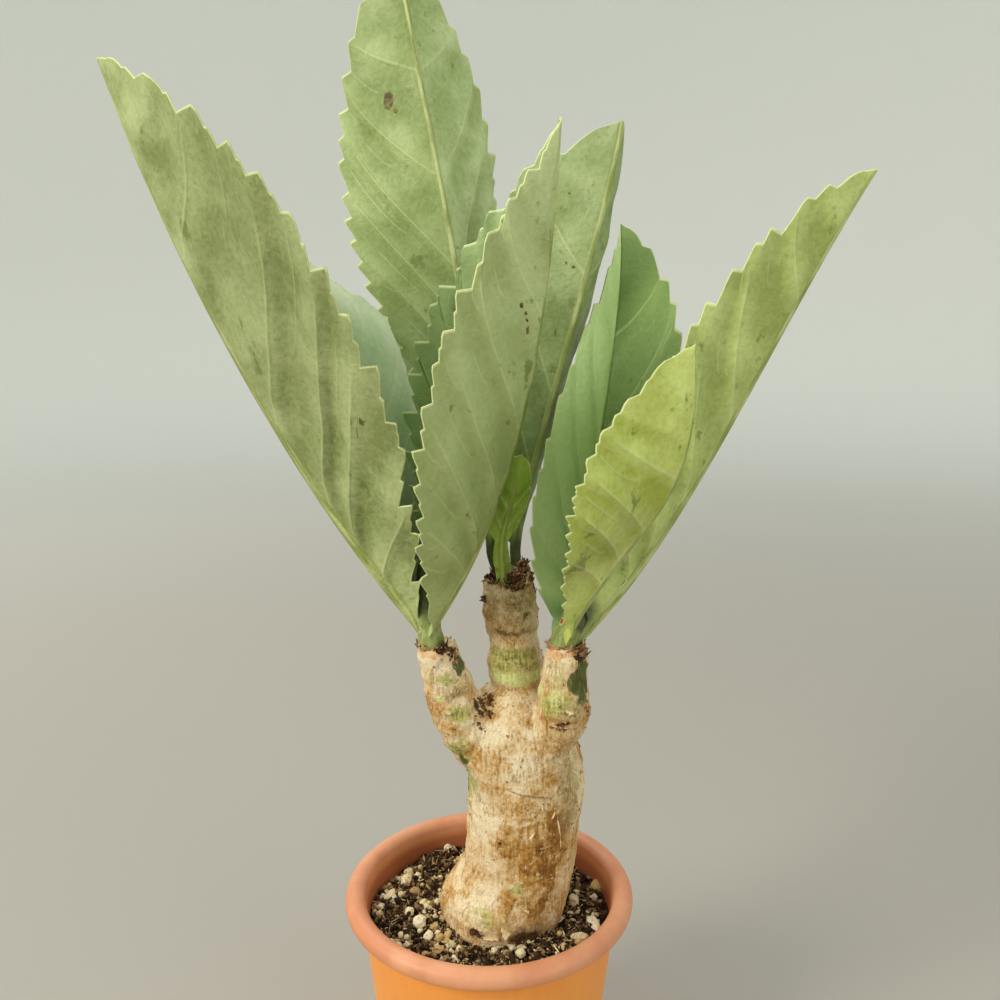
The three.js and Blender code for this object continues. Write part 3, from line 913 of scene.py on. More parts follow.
LEAVES = {
    "leaf_left_outer": {
        "keel": [(-33, -10, 285), (-84, -20, 345), (-146, -30, 460), (-178, -26, 561)],
        "seat": (-31, -11, 273),
        "opens": [(0.84, -0.12, 0.53), (0.86, -0.28, 0.44)],
        "halves": [half(-1, 97, 0.57, 0.84, (27, 33), 7),
                   half(1, 102, 0.41, 2.2, (46, 40), 9, (0.19, 0.36, 0.455, 0.6, 0.785),
                        flare=20, ripple=0.6, bite=3)],
        "teeth": 14, "tooth": "stepped", "bite": 8.4, "ripple": 3.1, "rib": 1.1, "stalk": 1.3,
        "petiole": 0.035, "seed": 3,
        "soaked": {
            "near the tip": (138, 132, 3, 6, 0.8),
            "high on the keel": (180, 226, 4, 8, 1.0),
            "middle of the keel": (240, 326, 3, 5, 1.0),
            "below the middle": (253, 360, 5, 9, 0.9),
            "low streak": (335, 462, 4, 14, 0.7),
            "low patch": (360, 488, 7, 8, 0.9),
        },
        # Painted shade over the middle of the outside.
        "shaded": {"middle": (285, 330, 80, 110, 0.34)},
        "scar": {
            "stroke": (354, 436, 0.9, 5, 1.0), "arm": (360, 424, 3, 0.8, 0.9),
            "foot": (350, 427, 2.4, 0.8, 0.8),
        },
    },
    "leaf_left_inner": {
        "keel": [(-29.5, -15, 287), (19, -40, 361), (28.5, -48, 450), (33, -46, 530)],
        "seat": (-30.5, -12, 273),
        "opens": [(-0.85, -0.39, 0.35), (-0.98, -0.13, 0.12)],
        "halves": [half(1, 59, 0.45, 1.2, (28, 18), 8, (0.2, 0.33, 0.46, 0.6, 0.75)),
                   half(-1, 57, 0.5, 1.2, (22, 19), 8, bite=7)],
        "teeth": 13, "tooth": "stepped", "bite": 5.8, "ripple": 3.0, "rib": 0.6, "stalk": 1.1,
        "petiole": 0.015, "seed": 5,
        "soaked": {
            "by the margin": (438, 366, 3, 2, 0.9),
            "left flank": (453, 410, 2.5, 6, 0.6),
            "low": (437, 560, 5, 8, 0.5),
            "beside the keel": (531, 372, 2, 10, 0.6),
        },
        "scar": {
            "first bite": (526, 307, 1.3, 2, 1.0), "second bite": (529, 315, 1, 1.5, 1.0),
            "third bite": (531, 323, 0.9, 1, 0.9), "long bite": (531, 332, 1.1, 3, 1.1),
            "dot": (502, 364, 0.9, 0.9, 0.8),
        },
    },
    "leaf_center_tall": {
        "keel": [(2, 13, 320), (-5, 50, 434), (-28, 66, 513), (-52, 74, 652)],
        "seat": (6, 9, 307),
        "opens": [(-0.74, 0.67, 0.08), (-0.08, 1, 0.03)],
        "halves": [half(1, 58, 0.64, 0.68, (58, 55), 7, (0.3, 0.42, 0.53, 0.64, 0.75, 0.86)),
                   half(-1, 55, 0.65, 0.95, (40, 56), 1)],
        "teeth": 21, "tooth": "hooked", "bite": 4.8, "ripple": 2.6, "rib": 0.95, "seed": 8,
        "soaked": {
            "right of the rib": (421, 256, 6, 6, 0.8),
            "low": (425, 300, 8, 12, 0.5),
            "left": (385, 215, 8, 8, 0.4),
        },
        # Painted shade on the petiole, among the leaves.
        "shaded": {"foot": (489, 556, 6, 14, 2.4)},
        "scar": {"old bite": (384, 100, 3.6, 6.5, 1.4), "its tail": (391, 112, 2, 2.5, 1.1)},
    },
    "leaf_center_right": {
        "keel": [(14, 6, 320), (15, 14, 350), (60, 20, 485), (69, 22, 545)],
        "seat": (12, 5.5, 306),
        "opens": [(-0.79, 0.61, -0.02), (-0.7, 0.72, 0.05)],
        "halves": [half(1, 54, 0.58, 0.72, (20, 23), 4, (0.28, 0.44, 0.6, 0.76)),
                   half(-1, 40, 0.5, 0.9, (76, 80), -56)],
        "teeth": 14, "tooth": "hooked", "bite": 3.4, "ripple": 1.6, "rib": 0.75, "seed": 13,
        "soaked": {"by the rib": (566, 300, 3, 14, 0.5)},
        # Painted shade on the petiole, among the leaves.
        "shaded": {"foot": (516, 552, 6, 16, 2.4)},
        "scar": {
            "stroke": (552, 334, 1, 4, 1.0), "high dot": (565, 195, 0.9, 1.2, 0.9),
            "comma": (570, 268, 3, 1.0, 0.9), "its tail": (563, 264, 1.2, 1.2, 0.9),
        },
    },
    "leaf_center_young": {
        "keel": [(7, -5, 320), (5, -12, 338), (13, -16, 350), (17, -16, 377)],
        "seat": (7, -3, 302),
        "opens": [(-0.2, 1, 0.2), (-0.2, 1, 0)],
        "halves": [half(1, 14, 0.6, 0.6, (60, 60), 5, (0.5, 0.7)), half(-1, 10, 0.6, 0.6, (60, 60), 5)],
        "teeth": 5, "tooth": "hooked", "bite": 1.2, "ripple": 0.5, "rib": 0.6, "stalk": 1.0,
        "petiole": 0.22, "seed": 17,
    },
    "leaf_right_inner": {
        "keel": [(38, -11, 287), (48, 3, 312), (75, 24, 450), (74, 62, 499)],
        "seat": (38.5, -17.5, 276),
        "opens": [(-0.3, -0.91, 0.3), (0.05, -0.97, 0.25)],
        "halves": [half(1, 41, 0.48, 0.83, (60, 80), 2, (0.22, 0.36, 0.5, 0.64, 0.78)),
                   half(-1, 30, 0.4, 1.5, (58, 52), 0.1, bite=2.2)],
        "teeth": 13, "tooth": "hooked", "bite": 4.4, "ripple": 2.0, "rib": 0.5, "stalk": 1.1,
        "petiole": 0.02, "seed": 21,
        "scar": {"torn spot": (627, 378, 1.4, 1.2, 0.9), "second torn spot": (638, 379, 1.2, 1, 0.9)},
    },
    "leaf_right_front": {
        "keel": [(41, -26, 289), (73, -46, 354), (97, -62, 354), (91, -68, 431)],
        "seat": (39, -21.5, 275),
        "opens": [(-0.87, -0.45, 0.2), (-0.97, -0.25, 0.02)],
        "halves": [half(1, 68, 0.58, 0.6, (28, 16), 4, (0.24, 0.4, 0.56, 0.74)),
                   half(-1, 30, 0.6, 0.65, (25, 20), 5)],
        "teeth": 12, "tooth": "stepped", "bite": 5.2, "ripple": 1.8, "rib": 0.7, "stalk": 1.1,
        "petiole": 0.015, "seed": 24,
        "soaked": {
            "near the foot": (584, 568, 8, 16, 1.0),
            "over the foot": (600, 530, 6, 10, 0.8),
            "low middle": (636, 508, 10, 6, 0.7),
            "middle": (640, 430, 6, 8, 0.5),
        },
        # Painted shade over the low part of the outside.
        "shaded": {"low": (610, 552, 34, 40, 0.46)},
    },
    "leaf_right_outer": {
        "keel": [(50, -20, 288), (100, -20, 338), (141, -22, 444), (186, -16, 514)],
        "seat": (43, -20, 275),
        "opens": [(-0.85, 0.15, 0.5), (-0.86, 0.12, 0.5)],
        "halves": [half(1, 47, 0.5, 0.82, (40, 22), 2, (0.22, 0.36, 0.5, 0.64, 0.8)),
                   half(-1, 45, 0.47, 0.8, (60, 36), 5)],
        "teeth": 17, "tooth": "hooked", "bite": 4.4, "ripple": 2.6, "rib": 0.8, "stalk": 1.3,
        "petiole": 0.02, "seed": 28,
        "soaked": {"by the keel": (700, 430, 5, 10, 0.5), "high": (790, 260, 4, 8, 0.4)},
        # Painted shade on the petiole, among the leaves.
        "shaded": {"foot": (588, 618, 7, 10, 1.8)},
    },
}
print(len(LEAVES), "leaves")


# %% [markdown]
# ### The leaf's finish
# The blade is waxy: a pale bloom lies over the green, yellower outside and bluer inside. Under
# it the flesh shows darker, water-soaked patches, most of them beside the keel. Veins stand
# out paler, the keel is a striped yellow-green rib, and the very edge is a fine pale line.
# Painted shade darkens the valleys between the veins, the inside of the fold away from the
# margin and low down, and the spots named as shaded.

# %% Leaf finish
SOAKED = rgb(104, 122, 48)
# Painted shade: the dark colour of petioles, shoots and leaf middles that lie in shadow.
PAINTED_SHADE = rgb(58, 62, 28)
# Painted shade deep in the fold, low down on the inside.
FOLD_SHADE = rgb(60, 84, 36)
NET = rgb(206, 216, 160)
VEINS = rgb(208, 216, 156)
RIB_STRIPE = rgb(140, 154, 74)
INNER_RIB = rgb(204, 212, 150)
PALE_EDGE = rgb(226, 232, 166)
BITE_DARK = rgb(66, 50, 12)
BITE_LIGHT = rgb(134, 124, 48)


def leaf_finish(name, outside, shade, inside, inside_shade, second=None, rib=(196, 202, 134),
                deep=0.3, second_outside_painted_lighter=None):
    """One leaf's material from its own screen colours, light and shaded, outside and inside,
    and those of the second half where they differ; the second half's outside may be painted
    lighter, painted light where the light falls on that side. Deep is how strongly painted
    shade darkens the inside of the fold low down."""
    material, wire = start_finish(name)
    inner, valley_shade = wire.value("inside"), wire.value("valley_shade")
    vein, branch = wire.value("vein"), wire.value("branch")
    margin, keel = wire.value("margin"), wire.value("keel")
    mottle = wire.cloud(0.03, 3).step(0.34, 0.66)
    fine = wire.cloud(0.0028, 3).step(0.3, 0.75)
    # Random mottling, and painted shade in the valleys between the veins.
    mottle_and_valley_shade = mottle * 0.6 + valley_shade * 0.4 + fine * 0.3 - 0.1
    outer_color = mottle_and_valley_shade.pick(rgb(*outside), rgb(*shade))
    # Painted light: the second half's outside may be lighter where the light falls on that side.
    if second_outside_painted_lighter:
        other = mottle_and_valley_shade.pick(*(rgb(*color) for color in second_outside_painted_lighter))
        outer_color = wire.value("second").pick(outer_color, other)
    # Inside, painted shade deepens away from the margin, into the fold.
    inward = mottle_and_valley_shade * 0.4 + margin.step(6, 46) * 0.7
    inner_color = inward.pick(rgb(*inside), rgb(*inside_shade))
    if second:
        other = inward.pick(*(rgb(*color) for color in second))
        inner_color = wire.value("second").pick(inner_color, other)
    beside = keel.step(26, 4)
    wet = wire.cloud(0.007, 4, roughness=0.65) + beside * 0.05 + wire.value("soaked") * 0.28
    outer_color = (wet.step(0.63, 0.76) * 0.7).pick(outer_color, SOAKED)
    along = wire.place("UV").part(0)
    # Painted shade low down inside the fold, as strong as deep says.
    inner_color = (along.step(0.15, 0.04) * deep).pick(inner_color, FOLD_SHADE)
    color = (inner * along.step(0.012, 0.03)).pick(outer_color, inner_color)
    net = wire.cells(0.0075, wire.place("UV", (1, 0.8, 1)))
    threads = net.step(0.06, 0.01)
    color = (threads * 0.05).pick(color, NET)
    lines = (vein.step(0.9, 0.2) * 0.36).max(branch.step(0.7, 0.15) * 0.38)
    color = lines.pick(color, VEINS)
    stripe = wire.cloud(0.0012, 2, wire.place("UV", (0.05, 1, 1))).step(0.35, 0.65)
    rib_color = stripe.pick(rgb(*rib), RIB_STRIPE)
    color = (wire.value("ribbed").step(1.5, 0.9) * (1 - inner)).pick(color, rib_color)
    color = (wire.value("ribbed").step(0.9, 0.3) * inner * 0.6).pick(color, INNER_RIB)
    color = (margin.step(0.6, 0.25) * along.step(0.012, 0.035) * 0.75).pick(color, PALE_EDGE)
    # Painted shade from the shaded spots, darkening petioles and middles that lie in shadow.
    shade_amount = wire.value("shaded") * 0.5
    color = shade_amount.min(0.85).pick(color, PAINTED_SHADE)
    bitten = wire.value("scar").shaken((wire.cloud(0.0014, 2), 0.9))
    color = bitten.step(0.45, 0.75).pick(color, fine.pick(BITE_DARK, BITE_LIGHT))
    roughness = 0.5 + mottle * 0.12
    relief = fine * 0.5 + threads * 0.15 + stripe * wire.value("ribbed").step(1.6, 1) * 0.8
    end_finish(wire, color, roughness, relief, 0.00035, shine=0.45)
    return material


LEAF_FINISHES = {
    "leaf_left_outer": {
        "outside": (184, 196, 134), "shade": (130, 142, 78),
        # Its inside is painted almost white: painted light on the far half, which catches the light.
        # Deep paints strong shade low in the fold.
        "inside": (246, 255, 218), "inside_shade": (172, 202, 140), "deep": 0.9,
    },
    "leaf_left_inner": {
        "outside": (186, 199, 136), "shade": (158, 171, 104),
        "inside": (166, 188, 124), "inside_shade": (110, 136, 72),
    },
    "leaf_center_tall": {
        "outside": (168, 184, 117), "shade": (128, 146, 76),
        "inside": (164, 188, 148), "inside_shade": (120, 150, 100),
        # Its right half is painted lighter: painted light where the light falls on that side.
        "second_outside_painted_lighter": ((202, 219, 156), (154, 174, 100)),
    },
    "leaf_center_right": {
        "outside": (164, 180, 118), "shade": (122, 140, 76),
        "inside": (160, 184, 140), "inside_shade": (120, 150, 100),
    },
    "leaf_center_young": {
        "outside": (170, 200, 76), "shade": (124, 152, 46),
        "inside": (136, 166, 66), "inside_shade": (112, 142, 50), "rib": (168, 188, 84),
    },
    "leaf_right_inner": {
        "outside": (140, 170, 104), "shade": (118, 148, 84),
        "inside": (146, 174, 96), "inside_shade": (108, 138, 60),
        "second": ((222, 248, 170), (170, 206, 106)),
    },
    "leaf_right_front": {
        "outside": (216, 228, 128), "shade": (168, 180, 62),
        "inside": (160, 184, 130), "inside_shade": (120, 146, 90),
    },
    "leaf_right_outer": {
        "outside": (196, 210, 126), "shade": (148, 162, 78),
        "inside": (160, 184, 120), "inside_shade": (120, 144, 84),
    },
}
for name, spec in LEAVES.items():
    young = name.endswith("young")
    size = (YOUNG_ROWS, YOUNG_COLUMNS) if young else (LEAF_ROWS, LEAF_COLUMNS)
    leaf = leaf_mesh(f"{name}_blade", spec, *size)
    finish = leaf_finish(f"{name}_finish", **LEAF_FINISHES[name])
    dress(leaf, finish, "leaf_young" if young else "leaf_glaucous", name)


# %% [markdown]
# ## The trunk
# The caudex is a stack of nearly round slices, and the branches are stems that grow out of
# it. Remeshing the overlapping tubes into one skin and smoothing it melts the joints together,
# as growth does. The bark is then raised on that skin: plates of old papery bark with sharp
# edges, fine upright grain, level wrinkles, and the rings that fallen leaves left.

# %% Trunk body
# Each slice: its height, its middle across and back, half its width and half its depth.
CAUDEX = [
    (76, 8, 0, 11, 11), (88, 7, 0, 20, 19), (104, 6, -1, 29, 29), (118, 7, -2, 33.5, 34),
    (131, 8.5, -1.5, 34.5, 34.5), (141, 13, 0, 32.8, 33), (152, 17.5, 1, 31.3, 32),
    (170, 19, 1, 31.4, 31.5), (190, 20.2, 1, 32, 31.5), (205, 19.3, 0, 32, 31),
    (216, 16.8, 0, 32, 30), (227, 14.5, 1, 30.5, 27.5), (238, 14, 3, 25, 22.5),
    (247, 14.3, 5, 16.5, 16), (252, 14.4, 6, 9, 9),
]
# Each station of a stem: a point of its middle and the radius there.
BRANCHES = {
    "left": [(6, -3, 206, 12), (-6, -6, 220, 14.5), (-15, -8, 235, 14.6), (-20, -9, 249, 13.6),
             (-24, -10, 262, 11.9), (-27.5, -10, 276, 10.8)],
    "center": [(14, 5, 226, 12), (14.6, 6, 242, 13.9), (14.4, 6, 252, 14.2), (14, 6, 262, 15.3),
               (13.5, 6, 273, 12.8), (12.3, 6, 286, 15), (11.5, 6, 297, 14.5), (10.6, 6, 308, 13.2)],
    "right": [(26, -8, 216, 11), (34, -14, 228, 12.5), (38.6, -18, 241, 14), (38.8, -20, 252, 13.3),
              (39.4, -20, 265, 12), (41, -20, 279, 10.4)],
}
# Waves round the trunk: how many, the rise in which they turn by a radian, and their depth.
SWELLINGS = [(3, 14, 0.014), (5, -9, 0.01)]
RING_DEPTH = 0.03
RING_SPACING = 9
BARK_VOXEL = 0.84
BARK_SMOOTHING = 8


def caudex_rings(rows=70, sides=90):
    """Level slices: middle plus half width times cosine and half depth times sine, swollen by waves."""
    z, x, y, wide, deep = through(CAUDEX, rows).T[:, :, None]
    turn = angles(sides)[None]
    relief = 1 + sum(depth * np.sin(around * turn + z / rise) for around, rise, depth in SWELLINGS)
    across, back = wide * relief * np.cos(turn), deep * relief * np.sin(turn)
    return np.stack([x + across, y + back, z + 0 * turn], -1)


def stem_rings(path, rows=40, sides=48, ring_depth=RING_DEPTH):
    """Slices square to the line, each a circle whose radius ripples with the height."""
    line_at = through(path, rows)
    middle, radius = line_at[:, :3], line_at[:, 3]
    along = unit(np.gradient(middle, axis=0))
    across = unit(np.cross([0, 1, 0], along))
    upward = np.cross(along, across)
    size = radius * (1 + ring_depth * np.sin(2 * np.pi * middle[:, 2] / RING_SPACING))
    turn = angles(sides)[None, :, None]
    circle = across[:, None] * np.cos(turn) + upward[:, None] * np.sin(turn)
    return middle[:, None] + size[:, None, None] * circle


def remeshed(piece, voxel, smoothing):
    """One skin round overlapping tubes, on a lattice of voxels, then relaxed."""
    skin = piece.modifiers.new("skin", "REMESH")
    skin.mode = "VOXEL"
    skin.voxel_size = voxel * MM
    relax = piece.modifiers.new("relax", "SMOOTH")
    relax.iterations = smoothing
    mesh = applied(piece)
    mesh.polygons.foreach_set("use_smooth", np.full(len(mesh.polygons), True))
    return mesh


def read_points(mesh):
    """The mesh's points in millimetres and its normals."""
    places = np.zeros(len(mesh.vertices) * 3, np.float32)
    normals = places.copy()
    mesh.vertices.foreach_get("co", places)
    mesh.vertices.foreach_get("normal", normals)
    return places.reshape(-1, 3).astype(float) / MM, normals.reshape(-1, 3).astype(float)


rings = caudex_rings()
tubes = [closed(rings, rings[0].mean(0) - (0, 0, 1), rings[-1].mean(0) + (0, 0, 1))]
for path in BRANCHES.values():
    rings = stem_rings(path)
    tubes.append(closed(rings, rings[0].mean(0), rings[-1].mean(0)))
trunk = put_mesh("trunk_bark", *joined(tubes))
bark = remeshed(trunk, BARK_VOXEL, BARK_SMOOTHING)
print("trunk skin:", len(bark.polygons), "faces")


# %% [markdown]
# ### Where the bark differs
# The trunk isn't one colour: cream plates, golden fresh bark where they have peeled, greyish
# brown old bark on the branches, light and deep green windows of living stem, dark scars.
# Some spots are painted light and shade: a lighter left side, a darker right flank, and
# shade under the right branch's bulge, in its crotch and under the curving foot.

# %% Spots on the bark
# Each spot: its pixel, its reach on the level and upwards, and its strength.
BARK_SPOTS = {
    "green": {
        "grey band on the left branch": (461, 716, 9, 6, 0.95),
        "sleeve of the left branch": (442, 680, 10, 5, 0.75),
        "strip down the shoulder": (455, 757, 9, 9, 1.0),
        "middle of the strip": (463, 778, 10, 10, 1.0),
        "foot of the strip": (464, 796, 9, 8, 0.8),
        "under the left branch": (456, 744, 6, 7, 0.7),
        "centre branch": (503, 658, 18, 9.5, 1.0),
        "right side of the centre branch": (534, 658, 9, 9, 1.0),
        "sleeve of the right branch": (556, 674, 9, 12, 0.55),
        "bulge of the right branch": (558, 708, 13, 8, 0.95),
        "tinge near the foot": (512, 893, 8, 6, 0.7),
        "tinge on the flank": (505, 850, 6, 5, 0.4),
        "moss at the foot": (484, 918, 18, 10, 0.55),
        "right flank": (582, 770, 5, 14, 0.45),
    },
    "deep": {
        "window on the left branch": (463, 669, 4.8, 5.8, 1.4),
        "window on the right branch": (589, 679, 7.5, 13, 1.4),
        "strip down the shoulder": (458, 764, 5.5, 11, 0.68),
        "middle of the strip": (463, 784, 7, 9, 0.65),
        # Painted shade under the right branch's bulge.
        "under the right bulge": (584, 702, 4, 3, 0.6),
    },
    "lime": {
        "foot of the centre branch": (512, 682, 30, 5.2, 1.0),
        "edge patch on the left branch": (433, 698, 3, 4, 0.9),
        "crest of the strip": (462, 745, 3, 5, 0.6),
        "on the right bulge": (551, 703, 8, 6, 0.6),
    },
    "gold": {
        "under the torn edge": (538, 818, 18, 16, 0.8),
        "lower right": (548, 872, 18, 22, 1.0),
        "middle": (524, 852, 14, 14, 0.6),
        "over the tear": (556, 782, 8, 6, 0.55),
        "right of the tear": (560, 836, 10, 16, 0.75),
        "lower middle": (512, 900, 9, 8, 0.5),
        "under the chest": (478, 786, 6, 4, 0.3),
        "shoulder": (500, 762, 6, 4, 0.35),
        "left foot": (462, 885, 5, 16, 0.45),
        "over the strip": (459, 734, 8, 4, 0.9),
        "along the strip": (467, 752, 4, 16, 0.7),
        "left edge of the left branch": (438, 711, 5, 3, 0.8),
        "under the right bulge": (571, 728, 8, 3, 0.4),
    },
    "peach": {
        "top of the left branch": (430, 653, 17, 2.6, 1.0),
        "top of the right branch": (562, 652, 15, 2.2, 1.0),
        "left edge of the left branch": (438, 712, 5, 3, 0.8),
        "under the sleeve": (434, 706, 6, 2, 0.5),
        "left flank": (466, 800, 4, 12, 0.6),
        "lower left flank": (462, 862, 5, 12, 0.7),
        "left of the foot": (452, 895, 5, 9, 0.6),
        "by the tear": (513, 800, 4, 3, 0.4),
    },
    "brown": {
        "centre branch": (511, 612, 19, 16, 1.0),
        "band on the left branch": (459, 693, 10, 6, 1.05),
        "second band on the left branch": (450, 708, 8, 3, 0.7),
        "bulge of the right branch": (580, 710, 8, 8, 0.8),
        # Partly the bulge's brown underside, partly painted shade under it.
        "low on the right bulge": (568, 720, 12, 6, 1.2),
        # Greyer brown bark, and painted shade down the right side, away from the key light.
        "right flank": (572, 790, 12, 38, 0.95),
        "ring on the centre branch": (512, 637, 22, 3.4, 1.35),
        "right of the tear": (560, 765, 9, 9, 0.6),
        "lower right": (560, 905, 14, 12, 0.4),
        # Painted shade where the foot curves under.
        "over the underside": (534, 936, 20, 7, 0.9),
    },
    "dark": {
        "ring on the centre branch": (512, 637, 19, 1.6, 0.36),
        "upper ring on the centre branch": (512, 611, 18, 1.6, 0.45),
        "line on the centre branch": (505, 655, 15, 0.8, 0.45),
        "blotch on the centre branch": (530, 615, 5, 6, 0.6),
        "top of the centre branch": (520, 583, 14, 4, 0.8),
        "crotch": (486, 704, 3.2, 8, 0.75),
        # Painted shade in the right branch's crotch, under its bulge.
        "crotch of the right branch": (564, 729, 10, 1.8, 0.8),
        "stripe on the left branch": (461, 684, 6, 1.2, 0.5),
        "second stripe on the left branch": (462, 700, 6, 1.0, 0.4),
        "crack": (550, 850, 9, 1.0, 0.8),
        "speckles": (500, 839, 3.5, 2.6, 0.7),
        # Painted shade under the foot, where it curves in.
        "underside": (530, 939, 15, 5.5, 0.9),
        "notch": (473, 938, 4.5, 3.5, 1.1),
    },
    "cream": {
        "chest": (500, 733, 16, 9, 0.9),
        "flank": (520, 765, 18, 14, 0.6),
        # Cream plates, painted lighter on the left side, where the key light falls.
        "left side": (480, 822, 12, 26, 0.9),
        "middle": (486, 850, 9, 22, 0.6),
        "crown": (520, 708, 16, 6, 0.5),
        "left sleeve": (431, 662, 10, 7, 0.8),
        "right sleeve": (556, 672, 8, 11, 0.7),
        "foot streak": (482, 902, 9, 15, 0.9),
        "left foot": (450, 900, 6, 9, 0.4),
    },
}
TEAR = {"from": (505, 793), "to": (553, 801)}

points, normals = read_points(bark)
shaken = np.stack([noise(points, 5, seed, 3) for seed in (21, 22, 23)], axis=1)
ragged = points + shaken * (2.2, 2.2, 1.6)
marks = {kind: spots(ragged, places) for kind, places in BARK_SPOTS.items()}
shares = {kind: round(float((mark > 0.5).mean()), 3) for kind, mark in marks.items()}
print("share of the trunk in each:", shares)


# %% [markdown]
# ### Relief of the bark
# Peeling leaves plates: cells round scattered middles, each standing a little higher or lower
# than its neighbours, with an edge as sharp as the mesh allows. The same cells carry the tone,
# so the colour changes where the relief does.

# %% Bark relief
PLATE_COUNT = 460
PLATE_STEP = 0.3
LIP_HEIGHT = 0.16
GRAIN_DEPTH = 0.15
WRINKLE_DEPTH = 0.2
LUMP_DEPTH = 0.6
PIT_DEPTH = 0.16
MARK_HEIGHTS = {"cream": 0.3, "gold": -0.35, "dark": -0.6, "deep": -0.3}
TEAR_LIFT = 0.7
TEAR_DEPTH = 0.5
SOIL_LEVEL = 118
TRUNK_MIDDLE = 16


def plates(points, count, seed, flat=(1, 1, 0.62)):
    """For each point, the number of the nearest scattered middle and how much nearer it is than
    the next one. The point is shaken by noise first, so the cells' edges are ragged."""
    rng = np.random.default_rng(seed)
    middles = points[rng.integers(0, len(points), count)] * flat
    shaken = (points + noise(points, 5, seed, 3)[:, None] * 2) * flat
    nearest = np.full((2, len(points)), np.inf)
    cell = np.zeros(len(points), int)
    for number, middle in enumerate(middles):
        apart = np.linalg.norm(shaken - middle, axis=1)
        closer = apart < nearest[0]
        nearest[1] = np.where(closer, nearest[0], np.minimum(nearest[1], apart))
        nearest[0] = np.where(closer, apart, nearest[0])
        cell[closer] = number
    return cell, nearest[1] - nearest[0], rng


cell, gap, rng = plates(points, PLATE_COUNT, 5)
raised = rng.uniform(-1, 1, PLATE_COUNT)[cell]
lip = bell(gap, 0.9)
around = np.arctan2(points[:, 1], points[:, 0] - TRUNK_MIDDLE)
grain_at = np.stack([around * 24, points[:, 2] / 12, 0 * around], axis=1)
grain = noise(grain_at, 1.0, 6, 2)
wrinkles = noise(points * (0.05, 0.05, 1), 1.7, 7, 2)
lumps = noise(points, 11, 8, 2)
pits = noise(points, 2.2, 15, 2)
above = smooth(SOIL_LEVEL, SOIL_LEVEL + 6, points[:, 2])
smoother = np.clip(marks["green"] + marks["lime"] + marks["deep"], 0, 1)
relief = PLATE_STEP * raised * smooth(0, 1.1, gap) + LIP_HEIGHT * lip * (raised > 0)
relief += GRAIN_DEPTH * grain + WRINKLE_DEPTH * wrinkles + LUMP_DEPTH * lumps + PIT_DEPTH * pits
relief *= 1 - 0.55 * smoother
relief += sum(height * marks[kind] for kind, height in MARK_HEIGHTS.items())
ends = [points[seen_at(points, TEAR[key])] for key in ("from", "to")]
share = (points[:, 0] - ends[0][0]) / (ends[1][0] - ends[0][0])
under = ends[0][2] + share * (ends[1][2] - ends[0][2]) + 0.5 * noise(points, 4, 16, 2) - points[:, 2]
torn = smooth(-0.05, 0.05, share) * (1 - smooth(0.95, 1.1, share)) * (points[:, 1] < ends[0][1] + 14)
lifted = TEAR_LIFT * smooth(-7, 0, under) * (under < 0)
bared = TEAR_DEPTH * np.exp(-np.maximum(under, 0) / 5) * (under > 0)
relief += torn * (lifted - bared)
points = points + normals * (relief * above)[:, None]
bark.vertices.foreach_set("co", (points * MM).astype(np.float32).ravel())
marks["lip"] = lip * (raised > -0.2)
marks["torn"] = torn
marks["under"] = np.clip(under, -4, 4)
marks["tone"] = np.clip(0.4 + 0.12 * raised + 0.24 * noise(points, 12, 9, 3) - 0.36 * marks["cream"]
                        + marks["gold"] * (0.42 + 0.12 * raised + 0.25 * pits), 0, 1)
keep_values(bark, marks)
bark.update()
print("relief from", round(float(relief.min()), 2), "to", round(float(relief.max()), 2), "mm")


# %% [markdown]
# ### The bark's finish
# Fibres run up the trunk, so the noise is stretched that way. Speckles and flecks of a
# millimetre or two break every edge between two colours.

# %% Bark finish
material, wire = start_finish("papery_bark")
mark = {kind: wire.value(kind) for kind in marks}
blotch = wire.cloud(0.005, 5, roughness=0.7)
fine = wire.cloud(0.0016, 4, roughness=0.65)
fibres = wire.cloud(0.0013, 4, wire.place(scale=(1, 1, 0.1)), 0.6)
level_lines = wire.cloud(0.0016, 3, wire.place(scale=(0.12, 0.12, 1)))
worn = mark["tone"].shaken((blotch, 0.85), (fibres, 0.85), (fine, 0.8))
color = worn.ramp(
    (0.06, 236, 218, 180), (0.34, 220, 190, 142), (0.62, 188, 142, 72), (0.95, 138, 90, 35))
old = (mark["brown"] * (0.6 + (blotch - 0.5) * 1.8 + (fibres - 0.5) * 0.8)).step(0.15, 0.7)
old_color = (fine + fibres - 0.5).step(0.25, 0.7).pick(rgb(134, 104, 60), rgb(206, 181, 126))
color = old.pick(color, old_color)
# The darkest brown where brown spots are strongest: rings and bands, and painted shade low on the right
# bulge.
deepest = mark["brown"].shaken((blotch, 0.9), (fibres, 0.6)).step(1.1, 1.55)
color = (deepest * 0.7).pick(color, rgb(82, 62, 32))
speck = wire.cloud(0.0011, 2).step(0.62, 0.72)
color = (speck * 0.6).pick(color, rgb(116, 82, 44))
fleck = wire.cloud(0.0017, 2, wire.place(scale=(1, 1, 0.45))).step(0.62, 0.74)
color = (fleck * 0.55).pick(color, rgb(246, 234, 200))
color = (mark["lip"] * fibres.step(0.42, 0.6) * 0.5).pick(color, rgb(116, 80, 40))
peachy = mark["peach"].shaken((blotch, 1.2), (fine, 0.8)).step(0.35, 0.85)
color = (peachy * 0.75).pick(color, fibres.step(0.35, 0.62).pick(rgb(186, 116, 66), rgb(240, 196, 144)))
leafy = mark["green"].shaken((blotch, 1.8), (fibres, 1.2)).step(0.35, 0.8)
woven = level_lines * 0.18 + fibres * 0.5 + fine * 0.32
light_green = woven.step(0.4, 0.58).pick(rgb(120, 120, 52), rgb(200, 193, 114))
